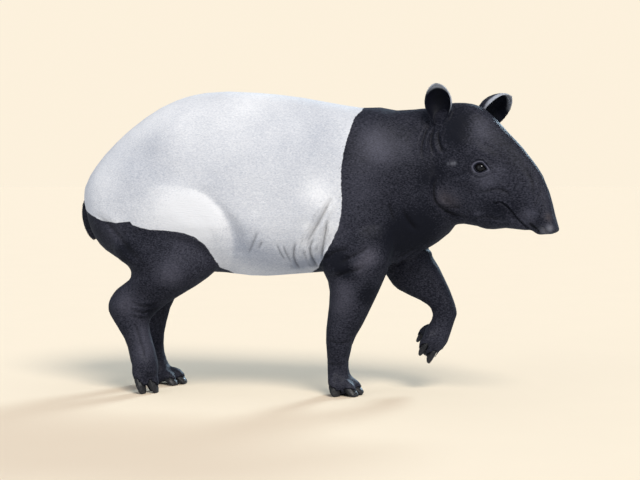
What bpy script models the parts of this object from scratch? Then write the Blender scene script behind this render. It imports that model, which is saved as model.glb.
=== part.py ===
"""A life-size standing Malayan tapir, parted into the pieces that a person would name.

The animal faces +X, its right side is at -Y, and it stands on the plane z = 0.
Trunk, head and legs are lofts through cross-sections. They are fused and smoothed into one
body, which thin cuts then part into torso, neck, head, snout and the lengths of the legs.
Hooves, eyes, ears and tail are solids of their own, set on that body.
"""

import math
from typing import NamedTuple

import bmesh
import bpy
from mathutils import Matrix, Vector
from mathutils.bvhtree import BVHTree

# General sizes, in metres.
GAP = 0.0003
VOXEL = 0.0075
FLESH_TRIANGLES = 5300
# The sections are measured from the shoulder; this puts the middle of the length at x = 0.
FORWARD_SHIFT = 0.018

# The neck bends to the animal's right, so that the head is turned towards its right side.
NECK_START_X = 0.26
NECK_BEND_LENGTH = 0.20
HEAD_TURN = math.radians(15)


class Section(NamedTuple):
    """A cross-section between two points of the side view, each (x, z).

    upper and lower are its ends in the side view, y its middle, half_width its half width,
    fullness its exponent (2 is an ellipse, more is squarer) and lean how much wider it is
    towards its upper end, or its lower end where lean is negative.
    """

    upper: tuple
    lower: tuple
    y: float
    half_width: float
    fullness: float = 2.2
    lean: float = 0.0


TRUNK = [
    Section((-0.884, 0.716), (-0.866, 0.660), 0.0, 0.026),
    Section((-0.874, 0.752), (-0.846, 0.590), 0.0, 0.084),
    Section((-0.840, 0.810), (-0.824, 0.540), 0.0, 0.138),
    Section((-0.785, 0.878), (-0.786, 0.502), 0.0, 0.180, 2.2, -0.05),
    Section((-0.716, 0.945), (-0.723, 0.466), 0.0, 0.206, 2.2, -0.08),
    Section((-0.612, 1.021), (-0.623, 0.445), 0.0, 0.226, 2.2, -0.10),
    Section((-0.491, 1.076), (-0.494, 0.435), 0.0, 0.240, 2.2, -0.12),
    Section((-0.363, 1.094), (-0.350, 0.431), 0.0, 0.250, 2.2, -0.14),
    Section((-0.214, 1.088), (-0.215, 0.420), 0.0, 0.254, 2.2, -0.14),
    Section((-0.081, 1.073), (-0.081, 0.429), 0.0, 0.246, 2.2, -0.12),
    Section((0.044, 1.051), (0.044, 0.440), 0.0, 0.226, 2.2, -0.08),
    Section((0.146, 1.034), (0.169, 0.451), 0.0, 0.204, 2.2, -0.04),
    Section((0.222, 1.034), (0.278, 0.470), 0.0, 0.180),
    Section((0.280, 1.024), (0.362, 0.511), 0.0, 0.156),
    Section((0.338, 1.026), (0.422, 0.543), 0.0, 0.138),
    Section((0.400, 1.030), (0.478, 0.590), 0.0, 0.120),
    Section((0.464, 1.010), (0.515, 0.650), 0.0, 0.084),
]

HEAD = [
    Section((0.386, 0.990), (0.424, 0.660), 0.0, 0.060),
    Section((0.412, 1.030), (0.470, 0.610), 0.0, 0.102, 2.1, 0.06),
    Section((0.475, 1.047), (0.522, 0.616), 0.0, 0.108, 2.1, 0.06),
    Section((0.538, 1.047), (0.567, 0.611), 0.0, 0.106, 2.1, 0.04),
    Section((0.592, 1.033), (0.616, 0.603), 0.0, 0.098, 2.1, 0.0),
    Section((0.635, 1.000), (0.653, 0.602), 0.0, 0.086, 2.1, -0.06),
    Section((0.684, 0.951), (0.689, 0.607), 0.0, 0.074, 2.1, -0.08),
    Section((0.731, 0.905), (0.722, 0.605), 0.0, 0.065, 2.1, -0.06),
    Section((0.772, 0.856), (0.751, 0.603), 0.0, 0.058, 2.1, 0.0),
    Section((0.809, 0.808), (0.778, 0.602), 0.0, 0.051, 2.1, 0.0),
    Section((0.834, 0.756), (0.800, 0.594), 0.0, 0.046, 2.1, 0.0),
    Section((0.850, 0.706), (0.820, 0.588), 0.0, 0.044, 2.2, 0.0),
    Section((0.861, 0.655), (0.838, 0.586), 0.0, 0.044, 2.4, 0.0),
    Section((0.872, 0.620), (0.848, 0.586), 0.0, 0.040, 2.4, 0.0),
    Section((0.879, 0.602), (0.863, 0.589), 0.0, 0.022, 2.2, 0.0),
]

LOWER_JAW = [
    Section((0.552, 0.717), (0.552, 0.639), 0.0, 0.050),
    Section((0.589, 0.710), (0.593, 0.606), 0.0, 0.076),
    Section((0.630, 0.700), (0.634, 0.599), 0.0, 0.068),
    Section((0.678, 0.689), (0.686, 0.604), 0.0, 0.058),
    Section((0.711, 0.663), (0.718, 0.602), 0.0, 0.050),
    Section((0.740, 0.634), (0.744, 0.599), 0.0, 0.043),
    Section((0.764, 0.615), (0.768, 0.599), 0.0, 0.032),
    Section((0.776, 0.608), (0.778, 0.602), 0.0, 0.014),
]

FORELEG_RIGHT = [
    Section((0.270, 0.650), (0.056, 0.649), -0.112, 0.060),
    Section((0.283, 0.563), (0.030, 0.561), -0.128, 0.076),
    Section((0.277, 0.486), (0.023, 0.479), -0.130, 0.080),
    Section((0.250, 0.417), (0.050, 0.408), -0.118, 0.072),
    Section((0.212, 0.337), (0.051, 0.346), -0.102, 0.063),
    Section((0.175, 0.264), (0.039, 0.265), -0.088, 0.055),
    Section((0.137, 0.197), (0.033, 0.195), -0.074, 0.048),
    Section((0.120, 0.138), (0.036, 0.136), -0.062, 0.044),
    Section((0.115, 0.101), (0.036, 0.092), -0.054, 0.042),
    Section((0.122, 0.068), (0.036, 0.058), -0.048, 0.048),
    Section((0.138, 0.040), (0.040, 0.026), -0.044, 0.056),
    Section((0.134, 0.012), (0.054, -0.008), -0.042, 0.048),
]

FORELEG_LEFT = [
    Section((0.344, 0.606), (0.153, 0.579), 0.108, 0.058),
    Section((0.380, 0.544), (0.173, 0.494), 0.122, 0.070),
    Section((0.398, 0.492), (0.217, 0.431), 0.126, 0.072),
    Section((0.424, 0.449), (0.254, 0.379), 0.125, 0.066),
    Section((0.446, 0.405), (0.299, 0.352), 0.123, 0.058),
    Section((0.469, 0.354), (0.351, 0.329), 0.121, 0.051),
    Section((0.485, 0.307), (0.388, 0.304), 0.119, 0.046),
    Section((0.489, 0.278), (0.396, 0.282), 0.118, 0.044),
    Section((0.479, 0.249), (0.394, 0.262), 0.117, 0.042),
    Section((0.466, 0.206), (0.380, 0.240), 0.116, 0.045),
    Section((0.452, 0.171), (0.366, 0.214), 0.116, 0.051),
    Section((0.436, 0.148), (0.370, 0.190), 0.116, 0.042),
]

HINDLEG_RIGHT = [
    Section((-0.401, 0.682), (-0.726, 0.644), -0.108, 0.080),
    Section((-0.349, 0.565), (-0.744, 0.554), -0.126, 0.096),
    Section((-0.336, 0.479), (-0.722, 0.493), -0.134, 0.102),
    Section((-0.366, 0.437), (-0.674, 0.457), -0.136, 0.096),
    Section((-0.425, 0.392), (-0.670, 0.421), -0.136, 0.084),
    Section((-0.485, 0.356), (-0.698, 0.397), -0.134, 0.070),
    Section((-0.538, 0.323), (-0.734, 0.369), -0.131, 0.058),
    Section((-0.580, 0.289), (-0.758, 0.328), -0.129, 0.049),
    Section((-0.603, 0.261), (-0.757, 0.291), -0.127, 0.045),
    Section((-0.604, 0.228), (-0.728, 0.241), -0.125, 0.042),
    Section((-0.593, 0.188), (-0.696, 0.186), -0.124, 0.040),
    Section((-0.582, 0.145), (-0.684, 0.144), -0.123, 0.041),
    Section((-0.574, 0.105), (-0.674, 0.106), -0.122, 0.049),
    Section((-0.574, 0.072), (-0.654, 0.074), -0.122, 0.044),
]

HINDLEG_LEFT = [
    Section((-0.475, 0.675), (-0.790, 0.640), 0.108, 0.080),
    Section((-0.426, 0.551), (-0.800, 0.560), 0.126, 0.096),
    Section((-0.418, 0.466), (-0.786, 0.490), 0.134, 0.102),
    Section((-0.455, 0.418), (-0.752, 0.446), 0.135, 0.094),
    Section((-0.518, 0.372), (-0.744, 0.408), 0.134, 0.078),
    Section((-0.566, 0.334), (-0.762, 0.374), 0.131, 0.064),
    Section((-0.590, 0.298), (-0.778, 0.338), 0.128, 0.053),
    Section((-0.601, 0.260), (-0.772, 0.298), 0.125, 0.047),
    Section((-0.612, 0.218), (-0.744, 0.242), 0.122, 0.043),
    Section((-0.619, 0.172), (-0.724, 0.184), 0.120, 0.040),
    Section((-0.618, 0.128), (-0.714, 0.128), 0.118, 0.040),
    Section((-0.608, 0.090), (-0.704, 0.082), 0.117, 0.043),
    Section((-0.588, 0.050), (-0.692, 0.036), 0.116, 0.050),
    Section((-0.584, 0.016), (-0.670, -0.006), 0.116, 0.044),
]

TAIL = [
    Section((-0.880, 0.716), (-0.836, 0.706), 0.0, 0.014),
    Section((-0.896, 0.682), (-0.826, 0.668), 0.0, 0.027),
    Section((-0.899, 0.640), (-0.826, 0.622), 0.0, 0.030),
    Section((-0.891, 0.598), (-0.828, 0.584), 0.0, 0.027),
    Section((-0.876, 0.566), (-0.834, 0.560), 0.0, 0.019),
    Section((-0.862, 0.549), (-0.842, 0.549), 0.0, 0.008),
]

# The eyes, ears, nostrils and mouth, in the side view of the unturned head.
EYE_AT = (0.624, 0.817)
EYE_RADIUS = 0.0210
EYE_SUNK = 0.0140
LID_LENGTH = 0.049
LID_HEIGHT = 0.035
LID_THICKNESS = 0.0095
NOSTRIL_AT = (0.822, 0.606)
NOSTRIL_SIZE = (0.034, 0.016, 0.026)
MOUTH_LINE = [
    (0.647, 0.682), (0.668, 0.693), (0.690, 0.694), (0.714, 0.674),
    (0.742, 0.644), (0.766, 0.618), (0.786, 0.606),
]
MOUTH_WIDTH = 0.003
MOUTH_DEPTH = 0.011
LIP_RADIUS = 0.010

EAR_HEIGHT = 0.158
EAR_WIDTH = 0.102
EAR_DEPTH = 0.046
EAR_WALL = 0.0065
EAR_NARROWING = 0.55


class Ear(NamedTuple):
    """How an ear stands: its side, the middle of its root on the unturned head, and its leans.

    The leans are in degrees, and so is facing, the turn of its opening from straight ahead
    towards +Y. size is how large it is beside the ear's sizes above.
    """

    name: str
    side: int
    foot: tuple
    lean_out: float
    lean_ahead: float
    facing: float
    size: float


EARS = (
    Ear("ear_right", -1, (0.466, -0.070, 0.956), 14, -2, -72, 1.0),
    Ear("ear_left", 1, (0.532, 0.062, 0.958), 24, 50, -12, 1.14),
)


class Toe(NamedTuple):
    """A digit and its hoof: where its root is, which way it points, and how big the hoof is.

    root is the middle of the knuckle, heading the turn from straight ahead towards +Y,
    pitch how far it points down, and length the way from the root to the hoof's tip.
    """

    name: str
    root: tuple
    heading: float
    pitch: float
    length: float
    width: float


FEET = {
    "foreleg_right_lower": [
        Toe("outer", (0.060, -0.094, 0.062), -40, 62, 0.070, 0.040),
        Toe("second", (0.098, -0.080, 0.046), -20, 34, 0.074, 0.043),
        Toe("middle", (0.106, -0.044, 0.048), 2, 32, 0.076, 0.049),
        Toe("inner", (0.094, -0.008, 0.044), 24, 34, 0.068, 0.042),
    ],
    "foreleg_left_lower": [
        Toe("outer", (0.378, 0.164, 0.226), 172, 48, 0.072, 0.038),
        Toe("second", (0.398, 0.148, 0.200), 184, 62, 0.084, 0.043),
        Toe("middle", (0.414, 0.112, 0.184), 180, 66, 0.092, 0.049),
        Toe("inner", (0.392, 0.078, 0.206), 176, 60, 0.086, 0.042),
    ],
    "hindleg_right_lower": [
        Toe("outer", (-0.648, -0.152, 0.090), -14, 68, 0.098, 0.043),
        Toe("middle", (-0.618, -0.122, 0.090), 0, 64, 0.102, 0.049),
        Toe("inner", (-0.640, -0.090, 0.090), 14, 68, 0.098, 0.042),
    ],
    "hindleg_left_lower": [
        Toe("outer", (-0.604, 0.150, 0.042), 24, 32, 0.068, 0.042),
        Toe("middle", (-0.590, 0.116, 0.046), 0, 32, 0.074, 0.049),
        Toe("inner", (-0.606, 0.082, 0.042), -24, 32, 0.068, 0.042),
    ],
}

# A hoof's rings: how far along the toe, and the width and height, as shares of the toe's own.
HOOF_PROFILE = (
    (0.30, 0.86, 0.78),
    (0.46, 1.02, 0.88),
    (0.66, 1.10, 0.80),
    (0.84, 1.02, 0.60),
    (0.96, 0.76, 0.36),
)
HOOF_POINTS = 10


def clear_scene():
    """Empty the scene of its objects."""
    for obj in list(bpy.data.objects):
        bpy.data.objects.remove(obj, do_unlink=True)


def new_collection(name):
    """A new collection under the scene."""
    made = bpy.data.collections.new(name)
    bpy.context.scene.collection.children.link(made)
    return made


def material(name, colour, roughness):
    """A Principled material of one colour."""
    made = bpy.data.materials.new(name)
    made.use_nodes = True
    shader = made.node_tree.nodes["Principled BSDF"]
    shader.inputs["Base Color"].default_value = (*colour, 1.0)
    shader.inputs["Roughness"].default_value = roughness
    shader.inputs["Metallic"].default_value = 0.0
    made.diffuse_color = (*colour, 1.0)
    return made


def object_from(name, bm, collection):
    """An object that holds a finished bmesh, with its faces pointing out."""
    bmesh.ops.recalc_face_normals(bm, faces=bm.faces)
    mesh = bpy.data.meshes.new(name)
    bm.to_mesh(mesh)
    bm.free()
    obj = bpy.data.objects.new(name, mesh)
    collection.objects.link(obj)
    return obj


def settle(obj):
    """Make what the modifiers of an object give its own mesh, and drop them."""
    graph = bpy.context.evaluated_depsgraph_get()
    mesh = bpy.data.meshes.new_from_object(obj.evaluated_get(graph))
    obj.modifiers.clear()
    obj.data = mesh
    return obj


def between(sections, index, share):
    """The numbers of a section at a share of the way from one given section to the next."""

    def row(i):
        s = sections[max(0, min(i, len(sections) - 1))]
        return Vector((*s.upper, *s.lower, s.y, s.half_width, s.fullness, s.lean))

    def reach(a, b):
        return max((a - b).length, 1e-6)

    before, start, end, after = (row(index + i) for i in (-1, 0, 1, 2))
    step = reach(start, end)
    slope = (end - start) / step
    slope_in = slope if index == 0 else (end - before) / (step + reach(start, before))
    slope_out = slope if index + 2 == len(sections) else (after - start) / (step + reach(end, after))
    t = share
    return (
        start * (2 * t**3 - 3 * t**2 + 1)
        + slope_in * step * (t**3 - 2 * t**2 + t)
        + end * (3 * t**2 - 2 * t**3)
        + slope_out * step * (t**3 - t**2)
    )


def ring_of(numbers, points_round):
    """The points round one section."""
    upper_x, upper_z, lower_x, lower_z, y, half_width, fullness, lean = numbers
    upper, lower = Vector((upper_x, 0, upper_z)), Vector((lower_x, 0, lower_z))
    middle, arm = (upper + lower) / 2, (upper - lower) / 2
    points = []
    for i in range(points_round):
        angle = 2 * math.pi * i / points_round
        along = math.copysign(abs(math.cos(angle)) ** (2 / fullness), math.cos(angle))
        aside = math.copysign(abs(math.sin(angle)) ** (2 / fullness), math.sin(angle))
        side = half_width * aside * (1 + lean * along)
        points.append(middle + arm * along + Vector((0, y + side, 0)))
    return points


def skin_of_rings(name, rings, collection):
    """A closed skin over rings of points, with a flat face at each end."""
    bm = bmesh.new()
    loops = [[bm.verts.new(point) for point in ring] for ring in rings]
    count = len(rings[0])
    for one, two in zip(loops, loops[1:]):
        for i in range(count):
            j = (i + 1) % count
            bm.faces.new((one[i], one[j], two[j], two[i]))
    bm.faces.new(loops[0])
    bm.faces.new(loops[-1])
    # Fixed diagonals, so that a grown copy has the same ones and lies outside all over.
    bmesh.ops.triangulate(bm, faces=bm.faces)
    return object_from(name, bm, collection)


def loft(name, sections, collection, points_round=44, rings_between=5):
    """A closed skin through the sections."""
    rings = []
    for index in range(len(sections) - 1):
        for step in range(rings_between):
            rings.append(ring_of(between(sections, index, step / rings_between), points_round))
    rings.append(ring_of(between(sections, len(sections) - 2, 1.0), points_round))
    return skin_of_rings(name, rings, collection)


def turned_point(point):
    """Where a point of the straight animal lies once the neck is bent."""
    x, y, z = point
    reach = x - NECK_START_X
    if reach <= 0:
        return Vector(point)
    radius = NECK_BEND_LENGTH / HEAD_TURN
    angle = HEAD_TURN * min(reach / NECK_BEND_LENGTH, 1.0)
    ahead, aside = Vector((math.cos(angle), -math.sin(angle))), Vector((math.sin(angle), math.cos(angle)))
    place = Vector((NECK_START_X + radius * math.sin(angle), -radius * (1 - math.cos(angle))))
    place += ahead * max(reach - NECK_BEND_LENGTH, 0.0) + aside * y
    return Vector((place.x, place.y, z))


def turn_with_neck(obj):
    """Bend an object's mesh with the neck."""
    for vertex in obj.data.vertices:
        vertex.co = turned_point(vertex.co)
    obj.data.update()
    return obj


def skin_tree(objects):
    """A search tree over the surfaces of some objects."""
    bm = bmesh.new()
    for obj in objects:
        bm.from_mesh(obj.data)
    tree = BVHTree.FromBMesh(bm)
    bm.free()
    return tree


def on_side(tree, place, side):
    """The outermost point and normal of the skin at a place of the side view."""
    start = Vector((place[0], side * 1.0, place[1]))
    point, normal, _, _ = tree.ray_cast(start, Vector((0, -side, 0)))
    return point, normal


def tube(name, points, radius, collection):
    """A closed round tube through some points, as a mesh."""
    curve = bpy.data.curves.new(name, "CURVE")
    curve.dimensions = "3D"
    curve.bevel_depth = radius
    curve.bevel_resolution = 2
    curve.use_fill_caps = True
    spline = curve.splines.new("POLY")
    spline.points.add(len(points) - 1)
    for knot, point in zip(spline.points, points):
        knot.co = (*point, 1.0)
    drawn = bpy.data.objects.new(name, curve)
    collection.objects.link(drawn)
    bpy.context.view_layer.update()
    mesh = bpy.data.meshes.new_from_object(drawn.evaluated_get(bpy.context.evaluated_depsgraph_get()))
    bpy.data.objects.remove(drawn)
    bm = bmesh.new()
    bm.from_mesh(mesh)
    bmesh.ops.remove_doubles(bm, verts=bm.verts, dist=1e-5)
    return object_from(name, bm, collection)


def ellipsoid(name, centre, sizes, turn, collection, segments=24, rings=16):
    """An ellipsoid with the given full sizes, turned by a matrix."""
    bm = bmesh.new()
    bmesh.ops.create_uvsphere(bm, u_segments=segments, v_segments=rings, radius=0.5)
    bmesh.ops.scale(bm, vec=sizes, verts=bm.verts)
    bmesh.ops.transform(bm, matrix=Matrix.Translation(centre) @ turn.to_4x4(), verts=bm.verts)
    return object_from(name, bm, collection)


def block(name, top, down, ahead, reach_ahead, reach_back, half_width, depth, collection, grow=0.0):
    """A box that hangs from a plane, used to part the body.

    top is a point of its upper face, down the way it hangs, and ahead the way its long side
    runs. grow makes it that much larger all round.
    """
    down = Vector(down).normalized()
    ahead = (Vector(ahead) - down * down.dot(Vector(ahead))).normalized()
    side = down.cross(ahead)
    bm = bmesh.new()
    bmesh.ops.create_cube(bm, size=1.0)
    sizes = (reach_ahead + reach_back + 2 * grow, 2 * half_width + 2 * grow, depth + 2 * grow)
    bmesh.ops.scale(bm, vec=sizes, verts=bm.verts)
    axes = Matrix((ahead, side, down)).transposed().to_4x4()
    centre = Vector(top) + ahead * (reach_ahead - reach_back) / 2 + down * depth / 2
    bmesh.ops.transform(bm, matrix=Matrix.Translation(centre) @ axes, verts=bm.verts)
    return object_from(name, bm, collection)


def boolean(obj, other, operation, solver="MANIFOLD"):
    """Cut, join or intersect an object with another, and settle the result."""
    modifier = obj.modifiers.new("cut", "BOOLEAN")
    modifier.operation = operation
    modifier.object = other
    modifier.solver = solver
    bpy.context.view_layer.update()
    return settle(obj)


def largest_piece(obj):
    """Keep only the largest closed surface of an object."""
    bm = bmesh.new()
    bm.from_mesh(obj.data)
    bmesh.ops.remove_doubles(bm, verts=bm.verts, dist=1e-6)
    left, pieces = set(bm.verts), []
    while left:
        seed = left.pop()
        found, front = {seed}, [seed]
        while front:
            for edge in front.pop().link_edges:
                for vertex in edge.verts:
                    if vertex not in found:
                        found.add(vertex)
                        front.append(vertex)
        left -= found
        pieces.append(found)
    pieces.sort(key=len)
    bmesh.ops.delete(bm, geom=[v for piece in pieces[:-1] for v in piece], context="VERTS")
    bm.to_mesh(obj.data)
    bm.free()
    return obj


def copy_of(obj, name, collection):
    """A second object with a mesh of its own."""
    made = bpy.data.objects.new(name, obj.data.copy())
    collection.objects.link(made)
    return made


def grown(obj, by, collection):
    """A copy of an object whose surface lies further out, or further in, all over."""
    made = copy_of(obj, obj.name + "_grown", collection)
    swell = made.modifiers.new("swell", "DISPLACE")
    swell.mid_level = 0.0
    swell.strength = by
    bpy.context.view_layer.update()
    return settle(made)


def toe_axes(toe):
    """The way a toe points, its left and its upper side."""
    heading, pitch = math.radians(toe.heading), math.radians(toe.pitch)
    flat = Vector((math.cos(heading), math.sin(heading), 0))
    ahead = flat * math.cos(pitch) - Vector((0, 0, math.sin(pitch)))
    left = Vector((-math.sin(heading), math.cos(heading), 0))
    return ahead, left, ahead.cross(left)


def digit(toe, leg, collection):
    """The flesh of a toe, from inside the foot into its hoof."""
    ahead, left, upper = toe_axes(toe)
    turn = Matrix((ahead, left, upper)).transposed()
    centre = Vector(toe.root) + ahead * toe.length * 0.30
    sizes = (toe.length * 1.15, toe.width * 1.12, toe.width * 1.10)
    return ellipsoid(leg + "_" + toe.name + "_flesh", centre, sizes, turn, collection)


def hoof(toe, leg, collection):
    """The horn of a toe: a blunt wedge with a flat sole, wider than it is high."""
    ahead, left, upper = toe_axes(toe)
    rings = []
    for along, wide, high in HOOF_PROFILE:
        middle = Vector(toe.root) + ahead * toe.length * along - upper * toe.width * 0.16
        ring = []
        for i in range(HOOF_POINTS):
            angle = 2 * math.pi * (i + 0.5) / HOOF_POINTS
            rise = max(math.sin(angle), -0.45) * high
            ring.append(middle + (left * math.cos(angle) * wide + upper * rise) * toe.width / 2)
        rings.append(ring)
    return skin_of_rings(leg + "_hoof_" + toe.name, rings, collection)


def lips(tree, collection):
    """Soft rolls above and below the line of the mouth, on both sides."""
    made = []
    for side in (-1, 1):
        for name, shift in (("upper", 0.9), ("lower", -0.9)):
            points = []
            for (x0, z0), (x1, z1) in zip(MOUTH_LINE[1:-1], MOUTH_LINE[2:]):
                run = Vector((x1 - x0, z1 - z0)).normalized()
                across = Vector((-run.y, run.x)) * LIP_RADIUS * shift
                point, normal = on_side(tree, (x0 + across.x, z0 + across.y), side)
                if point is not None:
                    points.append(point - normal * LIP_RADIUS * 0.55)
            made.append(tube(f"lip_{name}_{side}", points, LIP_RADIUS, collection))
    return made


def fuse(objects, collection):
    """One smooth body out of overlapping closed pieces."""
    bm = bmesh.new()
    for obj in objects:
        bm.from_mesh(obj.data)
    body = object_from("body", bm, collection)
    remesh = body.modifiers.new("fuse", "REMESH")
    remesh.mode = "VOXEL"
    remesh.voxel_size = VOXEL
    remesh.adaptivity = 0.0
    soften = body.modifiers.new("soften", "SMOOTH")
    soften.factor = 0.5
    soften.iterations = 7
    bpy.context.view_layer.update()
    return largest_piece(settle(body))


def thin_out(body, triangles):
    """Fewer triangles, fewest where the body is flattest."""
    fewer = body.modifiers.new("fewer", "DECIMATE")
    body.data.calc_loop_triangles()
    fewer.ratio = triangles / len(body.data.loop_triangles)
    bpy.context.view_layer.update()
    return settle(body)


# The planes that part the body: a point of each, the way its block hangs, and the way ahead.
LEG_CUTS = {
    "foreleg_right": dict(
        top=(0.150, -0.156, 0.468), down=(0.05, 0.14, -1), ahead=(1, 0, 0.10),
        reach_ahead=0.165, reach_back=0.165, half_width=0.118, depth=0.60,
    ),
    "foreleg_left": dict(
        top=(0.310, 0.152, 0.486), down=(0.20, 0, -1), ahead=(1, 0, 0.26),
        reach_ahead=0.300, reach_back=0.135, half_width=0.110, depth=0.60,
    ),
    "hindleg_right": dict(
        top=(-0.580, -0.162, 0.580), down=(0.10, 0, -1), ahead=(1, 0, -0.16),
        reach_ahead=0.250, reach_back=0.235, half_width=0.114, depth=0.70,
    ),
    "hindleg_left": dict(
        top=(-0.620, 0.162, 0.574), down=(0.10, 0, -1), ahead=(1, 0, -0.16),
        reach_ahead=0.250, reach_back=0.235, half_width=0.114, depth=0.70,
    ),
}
JOINT_CUTS = {
    "foreleg_right": dict(top=(0.080, -0.070, 0.160), down=(0, 0, -1), ahead=(1, 0, 0)),
    "foreleg_left": dict(top=(0.440, 0.118, 0.280), down=(-0.10, 0, -1), ahead=(1, 0, -0.10)),
    "hindleg_right": dict(top=(-0.668, -0.128, 0.306), down=(0.34, 0, -1), ahead=(1, 0, 0.34)),
    "hindleg_left": dict(top=(-0.685, 0.126, 0.300), down=(0.28, 0, -1), ahead=(1, 0, 0.28)),
}
SHOULDER_CUT = dict(top=(0.078, 0.0, 0.740), down=(1, 0, -0.26), ahead=(0.26, 0, 1))
# These three are places of the unturned head and neck.
HEAD_CUT = dict(top=(0.424, 0.0, 0.800), down=(1, 0, 0.136), ahead=(-0.136, 0, 1))
NECK_CUT = dict(top=(0.300, 0.0, 0.780), down=(1, 0, 0.20), ahead=(-0.20, 0, 1))
SNOUT_CUT = dict(top=(0.796, 0.0, 0.690), down=(1, 0, -0.30), ahead=(0.30, 0, 1))


def part_off(rest, name, cut, parts, cutters):
    """Part a piece off a body along a block, and return the piece."""
    piece = copy_of(rest, name, parts)
    region = block(name + "_region", collection=cutters, **cut)
    boolean(piece, region, "INTERSECT")
    region_grown = block(name + "_gap", collection=cutters, grow=GAP, **cut)
    boolean(rest, region_grown, "DIFFERENCE")
    largest_piece(rest)
    return largest_piece(piece)


def wide(cut, reach=1.2):
    """A cut whose block is as large as anything it could meet."""
    return dict(cut, reach_ahead=reach, reach_back=reach, half_width=reach, depth=reach)


def turned_cut(cut):
    """A cut of the unturned animal, turned with the neck."""
    place = Vector(cut["top"])
    top = turned_point(place)

    def turned(way):
        step = 0.001
        return (turned_point(place + Vector(way) * step) - top) / step

    return dict(top=top, down=turned(cut["down"]), ahead=turned(cut["ahead"]))


def ear_shell(ear, collection):
    """A cupped ear: a thin shell, open at the front and narrower at its root."""
    bm = bmesh.new()
    bmesh.ops.create_uvsphere(bm, u_segments=18, v_segments=12, radius=1.0)
    geometry = bm.verts[:] + bm.edges[:] + bm.faces[:]
    bmesh.ops.bisect_plane(
        bm, geom=geometry, dist=1e-5, plane_co=(0.30, 0, 0), plane_no=(1, 0, 0.42), clear_outer=True
    )
    for vertex in bm.verts:
        height = (vertex.co.z + 1) / 2
        narrow = EAR_NARROWING + (1 - EAR_NARROWING) * min(1.0, height / 0.55)
        vertex.co = Vector((
            vertex.co.x * EAR_DEPTH * narrow,
            vertex.co.y * EAR_WIDTH / 2 * narrow,
            height * EAR_HEIGHT,
        )) * ear.size
    turn = (
        Matrix.Rotation(math.radians(-ear.side * ear.lean_out), 3, "X")
        @ Matrix.Rotation(math.radians(ear.lean_ahead), 3, "Y")
        @ Matrix.Rotation(math.radians(ear.facing), 3, "Z")
    )
    bmesh.ops.transform(bm, matrix=Matrix.Translation(ear.foot) @ turn.to_4x4(), verts=bm.verts)
    made = turn_with_neck(object_from(ear.name, bm, collection))
    wall = made.modifiers.new("wall", "SOLIDIFY")
    wall.thickness = EAR_WALL
    wall.offset = 0.0
    bpy.context.view_layer.update()
    return settle(made)


def lid_ring(name, centre, normal, collection):
    """The almond roll of the two eyelids."""
    outward = normal.normalized()
    upward = (Vector((0, 0, 1)) - outward * outward.z).normalized()
    forward = upward.cross(outward) if outward.y < 0 else outward.cross(upward)
    points = []
    count = 20
    for i in range(count):
        angle = 2 * math.pi * i / count
        pinch = abs(math.sin(angle)) ** 1.2
        place = forward * math.cos(angle) * LID_LENGTH / 2
        place += upward * math.copysign(pinch, math.sin(angle)) * LID_HEIGHT / 2
        points.append(centre + place)
    bm = bmesh.new()
    loops = []
    for i, point in enumerate(points):
        radial = (point - centre).normalized()
        loop = []
        for j in range(8):
            angle = 2 * math.pi * j / 8
            offset = radial * math.cos(angle) + outward * math.sin(angle)
            loop.append(bm.verts.new(point + offset * LID_THICKNESS / 2))
        loops.append(loop)
    for i, one in enumerate(loops):
        two = loops[(i + 1) % count]
        for j in range(8):
            k = (j + 1) % 8
            bm.faces.new((one[j], one[k], two[k], two[j]))
    return object_from(name, bm, collection)


def mouth_blade(tree, side, cutters):
    """The cutter that scores the line of the mouth into one side of the muzzle."""
    rings = []
    for i, (x, z) in enumerate(MOUTH_LINE):
        x0, z0 = MOUTH_LINE[max(i - 1, 0)]
        x1, z1 = MOUTH_LINE[min(i + 1, len(MOUTH_LINE) - 1)]
        run = Vector((x1 - x0, 0, z1 - z0)).normalized()
        point, normal = on_side(tree, (x, z), side)
        across = run.cross(normal).normalized() * MOUTH_WIDTH / 2
        outer, inner = point + normal * MOUTH_DEPTH, point - normal * MOUTH_DEPTH
        corners = (outer + across * 2, outer - across * 2, inner - across / 2, inner + across / 2)
        rings.append([turned_point(corner) for corner in corners])
    return skin_of_rings(f"mouth_blade_{side}", rings, cutters)


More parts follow.
